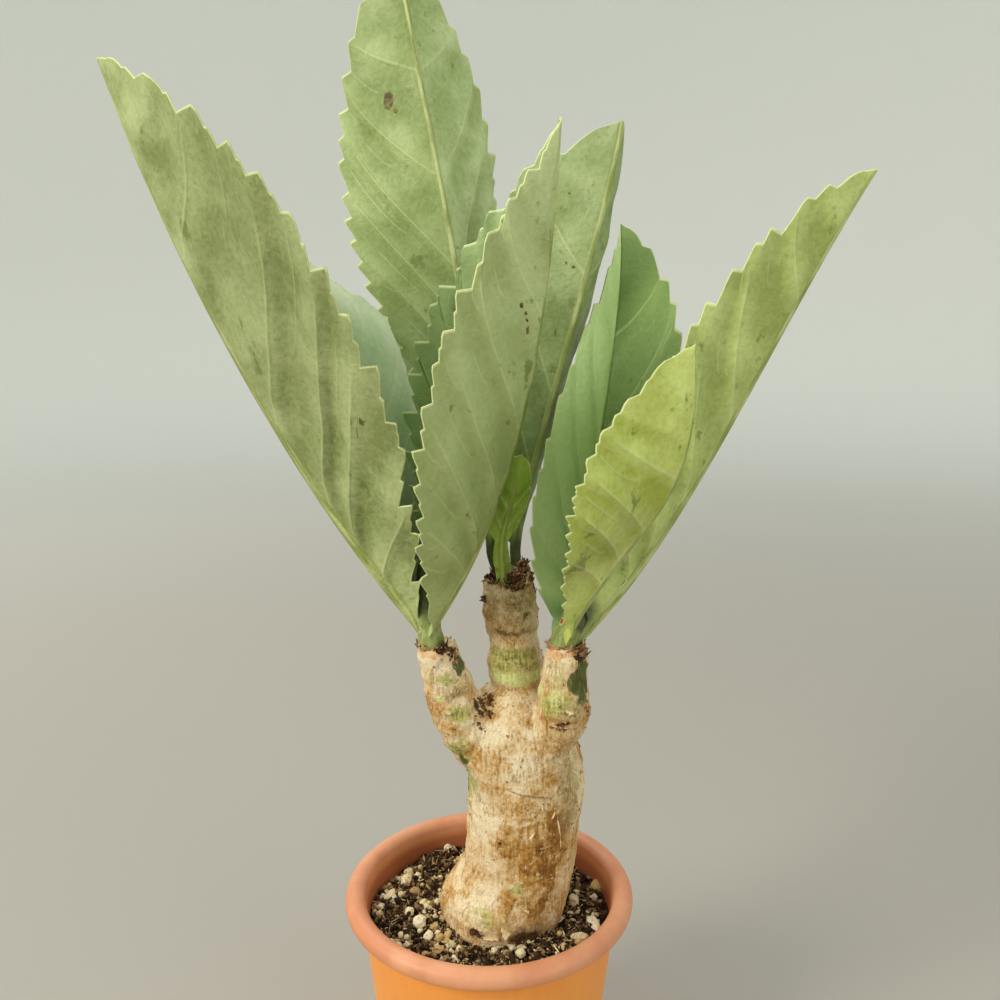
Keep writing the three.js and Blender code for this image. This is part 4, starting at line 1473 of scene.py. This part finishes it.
color = (leafy * 0.92).pick(color, light_green)
limy = mark["lime"].shaken((blotch, 1.7), (fine, 0.6)).step(0.3, 0.8)
lime = (fine * 0.5 + fibres * 0.5).step(0.38, 0.6).pick(rgb(180, 190, 104), rgb(232, 238, 164))
color = (limy * 0.85).pick(color, lime)
window = mark["deep"].shaken((blotch, 0.7)).step(0.35, 0.6) * 0.9
color = window.pick(color, fibres.step(0.52, 0.68).pick(rgb(58, 74, 28), rgb(132, 144, 78)))
# Dark scars and cracks, and painted shade from the dark spots under the foot and in the right branch's
# crotch.
dark_scars_and_shade = mark["dark"].shaken((blotch, 0.9), (fine, 0.9)).step(0.35, 0.75)
# Painted shadow: a dark line just under the torn edge, where the lifted sheet shades the bark.
crack = mark["torn"] * mark["under"].step(0, 0.2) * mark["under"].step(1.0, 0.4)
scar_and_shade_color = fine.step(0.35, 0.65).pick(rgb(48, 30, 18), rgb(98, 66, 38))
color = dark_scars_and_shade.max(crack * 0.62).pick(color, scar_and_shade_color)
relief = fibres * 0.8 + fine * 0.9 + level_lines * 0.5 + blotch * 0.8
end_finish(wire, color, 0.82 - leafy * 0.2, relief, 0.0007, shine=0.2)
dress(trunk, material, "bark", "trunk")


# %% [markdown]
# ### Flakes and scales
# Old bark comes away as thin curls, and dry scales stay where leaves fell. A flake is a small
# sheet: one edge holds on to the bark, the other lifts off it on an arc. Its front and back
# meet at the rim, so it is closed.

# %% Flakes
FLAKE_ROWS = 5
FLAKE_COLUMNS = 6
FLAKE_THICKNESS = 0.22
FLAKE_ROUNDING = 0.3
RAGGED_WIDTH = 0.35
RAGGED_LENGTH = 0.15
LEAST_BEND = 1e-3


def flake_faces():
    """The faces of one flake, front, back and rim between them, and how many points it has."""
    per_side = FLAKE_ROWS * FLAKE_COLUMNS
    front = quads(FLAKE_ROWS, FLAKE_COLUMNS, around=False)
    back = np.roll(front[:, ::-1], 1, axis=1) + per_side
    index = np.arange(per_side).reshape(FLAKE_ROWS, FLAKE_COLUMNS)
    loop = np.concatenate([index[0], index[1:, -1], index[-1, -2::-1], index[-2:0:-1, 0]])
    after = np.roll(loop, -1)
    rim = np.stack([loop, loop + per_side, after + per_side, after], -1)
    return np.concatenate([front, back, rim]), 2 * per_side


def flakes(name, ground, normal, sizes, heading, curl, point, tone, seed):
    """One mesh of sheets: ground is where each holds on, normal the bark's there, sizes its
    length along the held edge and width off it, heading the free edge's way from upwards."""
    rng = np.random.default_rng(seed)
    count = len(ground)
    upward = unit(np.array([0, 0, 1.0]) - normal * normal[:, 2:])
    sideways = np.cross(upward, normal)
    cos, sin = np.cos(heading)[:, None], np.sin(heading)[:, None]
    off, hold = upward * cos + sideways * sin, sideways * cos - upward * sin
    a = np.linspace(0, 1, FLAKE_ROWS)[None, :, None]
    b = np.linspace(-1, 1, FLAKE_COLUMNS)[None, None, :]
    shake = rng.uniform(-1, 1, (count, FLAKE_ROWS, FLAKE_COLUMNS))
    bend = curl[:, None, None] * a + LEAST_BEND
    whole = curl[:, None, None] + LEAST_BEND
    width = sizes[:, 1, None, None] * (1 + RAGGED_WIDTH * shake * a) * (1 - FLAKE_ROUNDING * b**2)
    out = width * np.sin(bend) / whole
    lift = width * (1 - np.cos(bend)) / whole
    length = sizes[:, 0, None, None] / 2 * (1 - point[:, None, None] * a)
    length = length * (1 + RAGGED_LENGTH * shake)
    sheet = ground[:, None, None] + hold[:, None, None] * (length * b)[..., None]
    sheet = sheet + off[:, None, None] * out[..., None] + normal[:, None, None] * lift[..., None]
    rim = np.minimum(1, 4 * np.minimum(1 - a, 1) + 0.2) * (1 - 0.8 * b**4)
    thick = normal[:, None, None] * (FLAKE_THICKNESS / 2 * rim)[..., None]
    grids = np.stack([sheet + thick, sheet - thick], axis=1)
    lifted = np.broadcast_to(a[:, None], (count, 2, FLAKE_ROWS, FLAKE_COLUMNS)).ravel()
    one, per_flake = flake_faces()
    return put_mesh(name, grids.reshape(-1, 3), [copied(one, per_flake, count)],
                    tone=np.repeat(tone, per_flake), lifted=lifted)


print("faces and points of a flake:", len(flake_faces()[0]), flake_faces()[1])


# %% [markdown]
# The curls that stand out in the photograph have places of their own. Some hundreds of small
# ones are drawn at random, most of them where the bark is golden or brown and so peels.

# %% Paper curls
# The pixel where each holds on, length, width, heading and curl in degrees, point and tone.
PAPER_CURLS = {
    "squiggle": (544, 808, 4, 1.1, 90, 130, 0.3, 0.1),
    "second squiggle": (541, 816, 4, 1.1, 60, 120, 0.3, 0.15),
    "hook": (555, 815, 4, 1.2, 120, 140, 0.3, 0.1),
    "upright edge": (560, 827, 12, 0.8, 80, 90, 0.1, 0.1),
    "lower upright edge": (562, 845, 7, 0.8, 85, 80, 0.2, 0.15),
    "small curl": (530, 836, 4.5, 2.0, 130, 110, 0.3, 0.1),
    "over the crack": (549, 847, 10, 1.2, 175, 40, 0.2, 0.6),
    "right curl": (563, 874, 4.5, 2.4, 70, 120, 0.4, 0.0),
    "pale flake": (540, 878, 2.6, 3.6, 350, 50, 0.6, 0.0),
    "bright flake": (518, 884, 4.5, 3.4, 320, 60, 0.5, 0.0),
    "foot flake": (527, 913, 3.6, 2.8, 30, 70, 0.5, 0.0),
    "second foot flake": (520, 905, 3.4, 2.2, 10, 60, 0.4, 0.1),
    "peeled corner": (509, 930, 7, 4.5, 215, 55, 0.4, 0.15),
    "beside the notch": (489, 938, 9, 2.5, 180, 60, 0.2, 0.2),
    "third foot flake": (505, 917, 3, 2, 200, 90, 0.4, 0.3),
    "left foot edge": (446, 912, 7, 1.2, 280, 80, 0.2, 0.0),
    "lower left foot edge": (452, 926, 8, 1.5, 260, 90, 0.3, 0.1),
    "left flank": (469, 800, 4, 1.6, 270, 90, 0.4, 0.0),
    "right flank": (583, 773, 3, 2.2, 90, 90, 0.5, 0.4),
    "bulge of the right branch": (572, 713, 5, 2.2, 200, 80, 0.3, 0.1),
    "bulge edge": (588, 708, 3.5, 2.4, 80, 60, 0.5, 0.7),
    "left peel": (470, 677, 7, 2.2, 300, 60, 0.3, 0.3),
    "left lower peel": (446, 712, 6, 2, 190, 60, 0.3, 0.3),
}
RANDOM_CURLS = 420
CURL_RANGES = [(0.6, 2.6), (0.4, 1.1), (0, 360), (20, 130), (0.1, 0.6), (0.35, 1.1)]
SOIL_CLEAR = SOIL_LEVEL + 3

points, normals = read_points(bark)
rng = np.random.default_rng(41)
named = np.array([values[2:] for values in PAPER_CURLS.values()], float)
places = [seen_at(points, values[:2], 3) for values in PAPER_CURLS.values()]
likely = 0.12 + marks["gold"] + 0.5 * marks["brown"] + 0.25 * (noise(points, 14, 17) > 0.35)
likely = likely * (points[:, 2] > SOIL_CLEAR)
extra = rng.choice(len(points), RANDOM_CURLS, replace=False, p=likely / likely.sum())
more = np.stack([rng.uniform(*ends, RANDOM_CURLS) for ends in CURL_RANGES], axis=1)
held = np.concatenate([places, extra])
shape = np.vstack([named, more])
ground = points[held] + normals[held] * 0.05
curls = flakes("papery_curls", ground, normals[held], shape[:, :2], np.radians(shape[:, 2]),
               np.radians(shape[:, 3]), shape[:, 4], shape[:, 5] + 0.12, 43)
material, wire = start_finish("papery_curl")
tone = (wire.value("tone") + wire.value("lifted") * -0.25).shaken((wire.cloud(0.001, 3), 0.4))
color = tone.ramp((0, 244, 226, 176), (0.35, 214, 178, 118), (0.8, 150, 104, 56))
end_finish(wire, color, 0.85, wire.cloud(0.0008, 2), 0.0003)
dress(curls, material, "bark")


# %% [markdown]
# ## Green shoots
# Each branch ends in a short living stem, smooth and waxy, with the oval scars of old leaves.

# %% Shoots
SHOOT_ROWS = 30
SHOOT_SIDES = 48
SHOOT_LUMPS = 0.5
SHOOTS = {
    "left": [(-28.5, -10, 270, 7.8), (-30.2, -11, 279, 6.7), (-31, -12.2, 289, 5.8),
             (-32.6, -12.6, 299, 4.8), (-33.6, -12.8, 309, 3.8), (-34, -13, 320, 2.6)],
    "center": [(11, 6, 305, 9), (10.6, 5.5, 310, 7), (10.2, 5, 316, 3)],
    "right": [(39.5, -20, 274, 7.8), (39.4, -20, 282, 7.3), (43.8, -20.5, 291, 7.2),
              (46.8, -20.5, 299, 5)],
}
SHOOT_SCARS = {
    "left": {"stipule": (415, 630, 1.5, 2, 0.9)},
    "center": {"leaf scar": (500, 575, 3, 1.5, 0.8)},
    "right": {"round scar": (557, 621, 1.9, 2.2, 1.2), "lower scar": (560, 637, 3, 0.7, 0.5)},
}
# Spots of painted shade between the leaves, where the shoots lie in their shadow.
SHOOT_SHADE = {
    "left": {"between the leaves": (424, 588, 8, 18, 1.3)},
    "center": {},
    "right": {"between the leaves": (586, 618, 5, 8, 1.3)},
}
material, wire = start_finish("green_stem")
blotch = wire.cloud(0.007, 4).step(0.35, 0.65)
strokes = wire.cloud(0.0014, 3, wire.place(scale=(1, 1, 0.15)))
color = blotch.pick(rgb(164, 174, 100), rgb(122, 138, 66))
color = (strokes.step(0.5, 0.7) * 0.5).pick(color, rgb(196, 204, 146))
# Painted shade from those spots.
color = (wire.value("shaded").step(0.1, 0.8) * 0.9).pick(color, PAINTED_SHADE)
scar = wire.value("scar").shaken((wire.cloud(0.0012, 3), 0.5))
color = scar.step(0.25, 0.45).pick(color, rgb(222, 184, 132))
color = scar.step(0.6, 0.85).pick(color, rgb(160, 84, 40))
end_finish(wire, color, 0.5, strokes, 0.0003)
for name, path in SHOOTS.items():
    rings = stem_rings(path, SHOOT_ROWS, SHOOT_SIDES, 0)
    lumps = SHOOT_LUMPS * noise(rings, 5, 3, 2)[..., None]
    rings = rings + unit(rings - rings.mean(1, keepdims=True)) * lumps
    shape, faces = closed(rings, rings[0].mean(0), rings[-1].mean(0) + (0, 0, 1))
    shoot = put_mesh(f"shoot_{name}_stem", shape, faces, scar=spots(shape, SHOOT_SCARS[name]),
                     shaded=spots(shape, SHOOT_SHADE[name]))
    dress(shoot, material, "green_stem", f"shoot_{name}")


# %% [markdown]
# ### Collars and dry scales
# Where a shoot leaves its bark, the bark ends in a ragged paper collar, and the bases of dead
# leaves stay as dark, pointed scales. Both are rings or handfuls of the same small flakes.

# %% Dry scales
# Middle, radius, count, length and width, heading's and curl's middle and spread, tones.
COLLARS = {
    "left": ((-28.4, -10, 275.8), 9.4, 64, 3, 2.6, (0, 50), (60, 80), (0.05, 0.5)),
    "left, inside": ((-28.6, -10, 275.4), 8.2, 26, 2.2, 1.2, (0, 30), (-20, 40), (0.3, 0.7)),
    "right": ((39.8, -20, 278.8), 9.2, 64, 3, 2.6, (0, 50), (60, 80), (0.05, 0.5)),
    "right, inside": ((39.7, -20, 278.2), 8.2, 26, 2.2, 1.2, (0, 30), (-20, 40), (0.4, 0.8)),
    "centre": ((10.8, 6, 306.4), 12.4, 80, 3.6, 2.4, (0, 120), (60, 110), (0.25, 0.85)),
    "centre, inside": ((10.6, 6, 307.5), 10.6, 70, 4.2, 3.4, (0, 120), (30, 110), (0.35, 0.95)),
    "centre, innermost": ((10.4, 5.6, 309), 8.4, 50, 4.4, 3.8, (0, 100), (20, 110), (0.45, 1.0)),
    "heap on the right": ((17, 2, 310), 5.4, 70, 5, 3.0, (0, 160), (40, 120), (0.0, 0.95)),
    "top of the heap": ((17, 3, 313.5), 4, 46, 5.4, 2.4, (0, 160), (40, 120), (0.0, 0.9)),
    "crown of the heap": ((17.5, 4, 316.5), 2.6, 24, 4.4, 2.6, (0, 160), (40, 120), (0.1, 0.85)),
}
# Pixel, reach in pixels, count, length and width, heading's middle and spread, tones.
HANDFULS = {
    "right of the left shoot": ((446, 648), (5, 5), 16, 3, 4.6, (350, 60), (0.6, 1.0)),
    "down the left branch": ((456, 656), (5, 9), 22, 3, 2.4, (330, 90), (0.3, 0.95)),
    "right of the right shoot": ((583, 652), (7, 7), 34, 3, 4, (20, 100), (0.35, 1.0)),
    "crotch": ((486, 703), (5, 12), 70, 2.4, 2.0, (0, 180), (0.45, 1.0)),
    "below the crotch": ((480, 722), (4, 8), 26, 1.6, 1.2, (0, 180), (0.2, 0.9)),
    "crotch of the right branch": ((560, 728), (12, 4), 22, 2, 1.4, (180, 90), (0.2, 0.9)),
    "ring on the centre branch": ((512, 636), (22, 2), 9, 1.6, 0.7, (180, 40), (0.2, 0.55)),
    "left side of the centre branch": ((483, 598), (2, 5), 5, 3.2, 4.4, (270, 40), (0.6, 0.8)),
    "right side of the centre branch": ((537, 588), (2, 5), 6, 2.4, 3, (80, 50), (0.4, 0.9)),
    "bulge of the right branch": ((588, 708), (2, 6), 7, 2.2, 1.8, (90, 60), (0.3, 0.8)),
}

print(len(COLLARS), "rings of scales and", len(HANDFULS), "handfuls")


# %% [markdown]
# Each ring and handful gives the places, and random draws give every scale its own size,
# heading, curl and tone. All of them become one mesh.

# %% Laying the scales
rng = np.random.default_rng(47)
ground, facing, shape = [], [], []
for middle, radius, count, length, width, heading, curl, tones in COLLARS.values():
    outward = level(angles(count) + rng.normal(0, 0.08, count))
    ground.append(np.array(middle) + outward * radius + (0, 0, 1) * rng.normal(0, 0.3, (count, 1)))
    facing.append(outward)
    shape.append(np.stack([
        length * rng.uniform(0.7, 1.5, count), width * rng.uniform(0.4, 1.3, count),
        rng.normal(heading[0], heading[1] / 2, count), rng.normal(curl[0], curl[1] / 2, count),
        rng.uniform(0.1, 0.9, count), rng.uniform(*tones, count)], axis=1))
for pixel, reach, count, length, width, heading, tones in HANDFULS.values():
    aims = np.array(pixel) + rng.uniform(-1, 1, (count, 2)) * reach
    held = [seen_at(points, aim, 3) for aim in aims]
    ground.append(points[held])
    facing.append(normals[held])
    shape.append(np.stack([
        length * rng.uniform(0.5, 1.3, count), width * rng.uniform(0.4, 1.3, count),
        rng.normal(heading[0], heading[1] / 2, count), rng.uniform(10, 120, count),
        rng.uniform(0.3, 1, count), rng.uniform(*tones, count)], axis=1))
ground, facing, shape = (np.concatenate(rows) for rows in (ground, facing, shape))
scales = flakes("dry_scales", ground, facing, shape[:, :2], np.radians(shape[:, 2]),
                np.radians(shape[:, 3]), shape[:, 4], shape[:, 5], 49)
material, wire = start_finish("dry_scale")
tone = wire.value("tone").shaken((wire.cloud(0.0012, 3), 0.7))
color = tone.ramp((0, 240, 206, 168), (0.3, 208, 160, 112), (0.6, 122, 82, 50), (1, 48, 32, 22))
end_finish(wire, color, 0.8, wire.cloud(0.0008, 2), 0.0003, shine=0.2)
dress(scales, material, "bark")


# %% [markdown]
# ## Potting mix
# Dark crumbs with pale pumice grit. The bed is a lumpy disk. Over it lie thousands of bits,
# each a ball of triangles squashed, turned and dented by its own random draw: finer balls for
# the pumice, plain ones for the crumbs and the flat chips.

# %% Soil bed
SOIL_RADIUS = 67.4
BED_BOTTOM = (0, 0, 100)
BED_TAPER = 0.97
BED_ROWS = 70
BED_SIDES = 220
# The trunk where it meets the soil: its middle and radius.
TRUNK_FOOT = (7.0, -2.0, 33.5)


def soil_height(x, y):
    """The level plus lumps of three sizes, sunk a little along the pot's wall."""
    place = np.stack([x, y, 0 * x], axis=-1)
    lumps = 1.8 * noise(place, 22, 11) + 1.5 * noise(place, 8, 12, 3)
    return SOIL_LEVEL + lumps - 1.5 * smooth(58, 67, np.hypot(x, y))


radius = SOIL_RADIUS * np.sqrt(np.linspace(0.0004, 1, BED_ROWS))[:, None]
turn = angles(BED_SIDES)[None]
x, y = radius * np.cos(turn), radius * np.sin(turn)
bed = np.stack([x, y, soil_height(x, y)], axis=-1)
bottom = bed[-1:] * (BED_TAPER, BED_TAPER, 0) + BED_BOTTOM
shape, faces = closed(np.concatenate([bed, bottom]), (0, 0, SOIL_LEVEL), BED_BOTTOM)
soil_bed = put_mesh("soil_bed", shape, faces)

material, wire = start_finish("potting_mix")
blotch = wire.cloud(0.004, 5, roughness=0.7)
color = blotch.step(0.35, 0.7).pick(rgb(34, 24, 16), rgb(96, 74, 48))
end_finish(wire, color, 0.95, wire.cloud(0.002, 5, roughness=0.7), 0.002, shine=0.15)
dress(soil_bed, material, "potting_mix", "soil")


# %% [markdown]
# A bit starts as an icosahedron, the plainest ball of triangles. The pumice is seen closest, so
# each of its triangles is cut in four. Thousands of bits are one array of points.

# %% Balls of triangles
# Seed, count, least and greatest size, stretch of each axis, depth of the dents and rise.
BITS = {
    "pumice_grit": (31, 2600, (1.0, 6.2), [(0.45, 1), (0.55, 1), (0.7, 1.2)], 0.22, 0.2),
    "soil_crumbs": (33, 8600, (0.7, 4), [(0.35, 1), (0.45, 1), (0.5, 1.3)], 0.36, 0.3),
    "bark_chips": (35, 620, (2.4, 8), [(0.12, 0.3), (0.35, 0.7), (0.7, 1.1)], 0.2, 0.22),
}


def ball():
    """The twelve corners and twenty faces of an icosahedron."""
    p = (1 + 5**0.5) / 2
    corners = [(-1, p, 0), (1, p, 0), (-1, -p, 0), (1, -p, 0), (0, -1, p), (0, 1, p),
               (0, -1, -p), (0, 1, -p), (p, 0, -1), (p, 0, 1), (-p, 0, -1), (-p, 0, 1)]
    faces = [(0, 11, 5), (0, 5, 1), (0, 1, 7), (0, 7, 10), (0, 10, 11), (1, 5, 9), (5, 11, 4),
             (11, 10, 2), (10, 7, 6), (7, 1, 8), (3, 9, 4), (3, 4, 2), (3, 2, 6), (3, 6, 8),
             (3, 8, 9), (4, 9, 5), (2, 4, 11), (6, 2, 10), (8, 6, 7), (9, 8, 1)]
    return unit(np.array(corners, float)), np.array(faces)


def finer(corners, faces):
    """Each triangle cut into four at the middles of its edges, pushed out to the ball."""
    edges = np.sort(np.concatenate([faces[:, [0, 1]], faces[:, [1, 2]], faces[:, [2, 0]]]), axis=1)
    pairs, number = np.unique(edges, axis=0, return_inverse=True)
    middles = unit(corners[pairs].mean(1))
    ab, bc, ca = number.reshape(3, -1) + len(corners)
    a, b, c = faces.T
    cut = [(a, ab, ca), (ab, b, bc), (ca, bc, c), (ab, bc, ca)]
    return np.vstack([corners, middles]), np.concatenate([np.stack(group, axis=1) for group in cut])


def turned(rng, count):
    """Random rotations, each from a random unit quaternion."""
    w, x, y, z = unit(rng.normal(size=(count, 4))).T
    return np.stack([
        np.stack([1 - 2 * (y * y + z * z), 2 * (x * y - z * w), 2 * (x * z + y * w)], -1),
        np.stack([2 * (x * y + z * w), 1 - 2 * (x * x + z * z), 2 * (y * z - x * w)], -1),
        np.stack([2 * (x * z - y * w), 2 * (y * z + x * w), 1 - 2 * (x * x + y * y)], -1),
    ], axis=1)


def scatter(rng, count):
    """Places on the soil, even over its area, clear of the trunk."""
    radius = SOIL_RADIUS * np.sqrt(rng.uniform(0, 0.985, 3 * count))
    turn = rng.uniform(0, 2 * np.pi, 3 * count)
    x, y = radius * np.cos(turn), radius * np.sin(turn)
    free = np.hypot(x - TRUNK_FOOT[0], y - TRUNK_FOOT[1]) > TRUNK_FOOT[2] - 1
    return x[free][:count], y[free][:count]


def stones(name, form, thin=None):
    """Balls times a size for each axis, dented, turned, and set on the soil at random."""
    seed, count, sizes, stretch, dent, rise = BITS[name]
    rng = np.random.default_rng(seed)
    corners, faces = form
    x, y = scatter(rng, count)
    if thin is not None:
        keep = rng.uniform(0, 1, len(x)) < thin(x, y)
        x, y = x[keep], y[keep]
    count = len(x)
    size = sizes[0] * (sizes[1] / sizes[0]) ** (rng.uniform(0, 1, count) ** 2.2)
    axes = rng.uniform(*np.array(stretch).T, (count, 3))
    shape = corners[None] * (1 + rng.uniform(-dent, dent, (count, len(corners), 1)))
    shape = np.einsum("nij,nkj->nki", turned(rng, count), shape * (axes * size[:, None] / 2)[:, None])
    base = np.stack([x, y, soil_height(x, y) + size * rise * rng.uniform(0.2, 1.6, count)], axis=1)
    edge = np.minimum(1, (SOIL_RADIUS - 0.4 - size / 2) / np.maximum(np.hypot(x, y), 1))
    base[:, :2] *= edge[:, None]
    points = (shape + base[:, None]).reshape(-1, 3)
    tone = np.repeat(rng.uniform(0, 1, count), len(corners))
    return put_mesh(name, points, [copied(faces, len(corners), count)], smooth=False, tone=tone)


print("faces of a crumb and of a pumice stone:", len(ball()[1]), len(finer(*ball())[1]))


# %% [markdown]
# The pumice lies in patches, more of it to the front and left. Crumbs and long, flat chips of
# bark lie everywhere.

# %% Grit, crumbs and chips
def in_patches(x, y):
    """The pale grit's share: in patches, and more of it to the front and left."""
    patches = smooth(-0.35, 0.5, noise(np.stack([x, y, 0 * x], axis=-1), 13, 18, 2))
    return (0.25 + 0.75 * patches) * (0.3 + 0.7 * smooth(30, -40, 0.8 * x + y))


grit = stones("pumice_grit", finer(*ball()), in_patches)
material, wire = start_finish("pumice")
tone = wire.value("tone")
blotch = wire.cloud(0.0015, 3)
color = tone.ramp(
    (0, 236, 224, 190), (0.45, 222, 204, 156), (0.7, 196, 164, 106), (1, 134, 106, 72))
color = (blotch.step(0.52, 0.72) * 0.6).pick(color, rgb(146, 120, 84))
end_finish(wire, color, 0.9, blotch, 0.001, shine=0.2)
dress(grit, material, "potting_mix")

material, wire = start_finish("bark_crumbs")
tone = wire.value("tone").shaken((wire.cloud(0.002, 3), 0.3))
color = tone.ramp((0, 28, 20, 14), (0.45, 62, 44, 28), (0.75, 108, 82, 52), (1, 164, 134, 92))
end_finish(wire, color, 0.9, wire.cloud(0.001, 3), 0.0006, shine=0.15)
for name in ("soil_crumbs", "bark_chips"):
    dress(stones(name, ball()), material, "potting_mix")


# %% [markdown]
# Fine dry fibres lie on the soil, and a few flat pale stones and fallen bits of bark have
# places of their own.

# %% Fibres and single stones
FIBRE_COUNT = 420
FIBRE_REACH = 60
FIBRE_WIDTHS = (0.3, 0.8)
FIBRE_LENGTHS = (2, 7)
FIBRE_BEND = 1.6
# Pixel, the three half sizes, the turn about the upright and the tone.
SINGLE_STONES = {
    "pale flat stone": ((595, 922), (3.0, 5.2, 1.3), 25, 0.0),
    "flat stone in front": ((578, 935), (5.2, 2.2, 1.2), 5, 0.35),
    "round stone": ((576, 901), (3.2, 3.6, 2.8), 0, 0.3),
    "fallen bark": ((600, 884), (4.0, 3.2, 0.7), 40, 0.7),
    "clump": ((420, 922), (3.8, 3.6, 3.0), 10, 0.1),
    "second clump": ((428, 936), (3.0, 2.6, 2.4), 70, 0.2),
    "third clump": ((412, 912), (3.0, 2.4, 2.2), 40, 0.15),
    "yellow bit": ((439, 947), (3.4, 2.4, 0.9), 20, 0.75),
    "second yellow bit": ((447, 934), (3.2, 2.0, 0.9), 60, 0.7),
    "left stone": ((389, 894), (2.6, 4.4, 1.6), 320, 0.35),
    "far stone": ((405, 878), (3.4, 2.4, 2.2), 0, 0.3),
    "front stone": ((520, 953), (2.8, 2.4, 2.0), 30, 0.2),
}
rng = np.random.default_rng(51)
corners, faces = finer(*ball())
bed_points = bed.reshape(-1, 3)
blocks, tones = [], []
for pixel, half_sizes, turn, tone in SINGLE_STONES.values():
    place = bed_points[seen_at(bed_points, pixel)]
    cos, sin = np.cos(np.radians(turn)), np.sin(np.radians(turn))
    block = corners * (1 + rng.uniform(-0.14, 0.14, (len(corners), 1))) * half_sizes
    block = block @ np.array([[cos, sin, 0], [-sin, cos, 0], [0, 0, 1]])
    tilt = np.radians(18) * block[:, 1:2]
    blocks.append(place + block + tilt * (0, 0, 1) + (0, 0, 0.6 * half_sizes[2] + 1.2))
    tones.append(np.full(len(corners), tone))
faces = copied(faces, len(corners), len(blocks))
singles = put_mesh("single_stones", np.concatenate(blocks), [faces], smooth=False,
                   tone=np.concatenate(tones))
dress(singles, bpy.data.materials["pumice"], "potting_mix")

x, y = scatter(rng, FIBRE_COUNT)
ground = np.stack([x, y, soil_height(x, y) + rng.uniform(0.6, 2.2, FIBRE_COUNT)], axis=1)
ground[:, :2] *= np.minimum(1, FIBRE_REACH / np.hypot(x, y))[:, None]
facing = unit(rng.normal(0, 0.35, (FIBRE_COUNT, 3)) + (0, 0, 1))
strips = [rng.uniform(*ends, FIBRE_COUNT) for ends in (FIBRE_WIDTHS, FIBRE_LENGTHS)]
fibres = flakes("dry_fibres", ground, facing, np.stack(strips, axis=1),
                rng.uniform(0, 6.28, FIBRE_COUNT), rng.uniform(-FIBRE_BEND, FIBRE_BEND, FIBRE_COUNT),
                rng.uniform(0, 0.5, FIBRE_COUNT), rng.uniform(0, 1, FIBRE_COUNT), 53)
dress(fibres, bpy.data.materials["papery_curl"], "potting_mix")
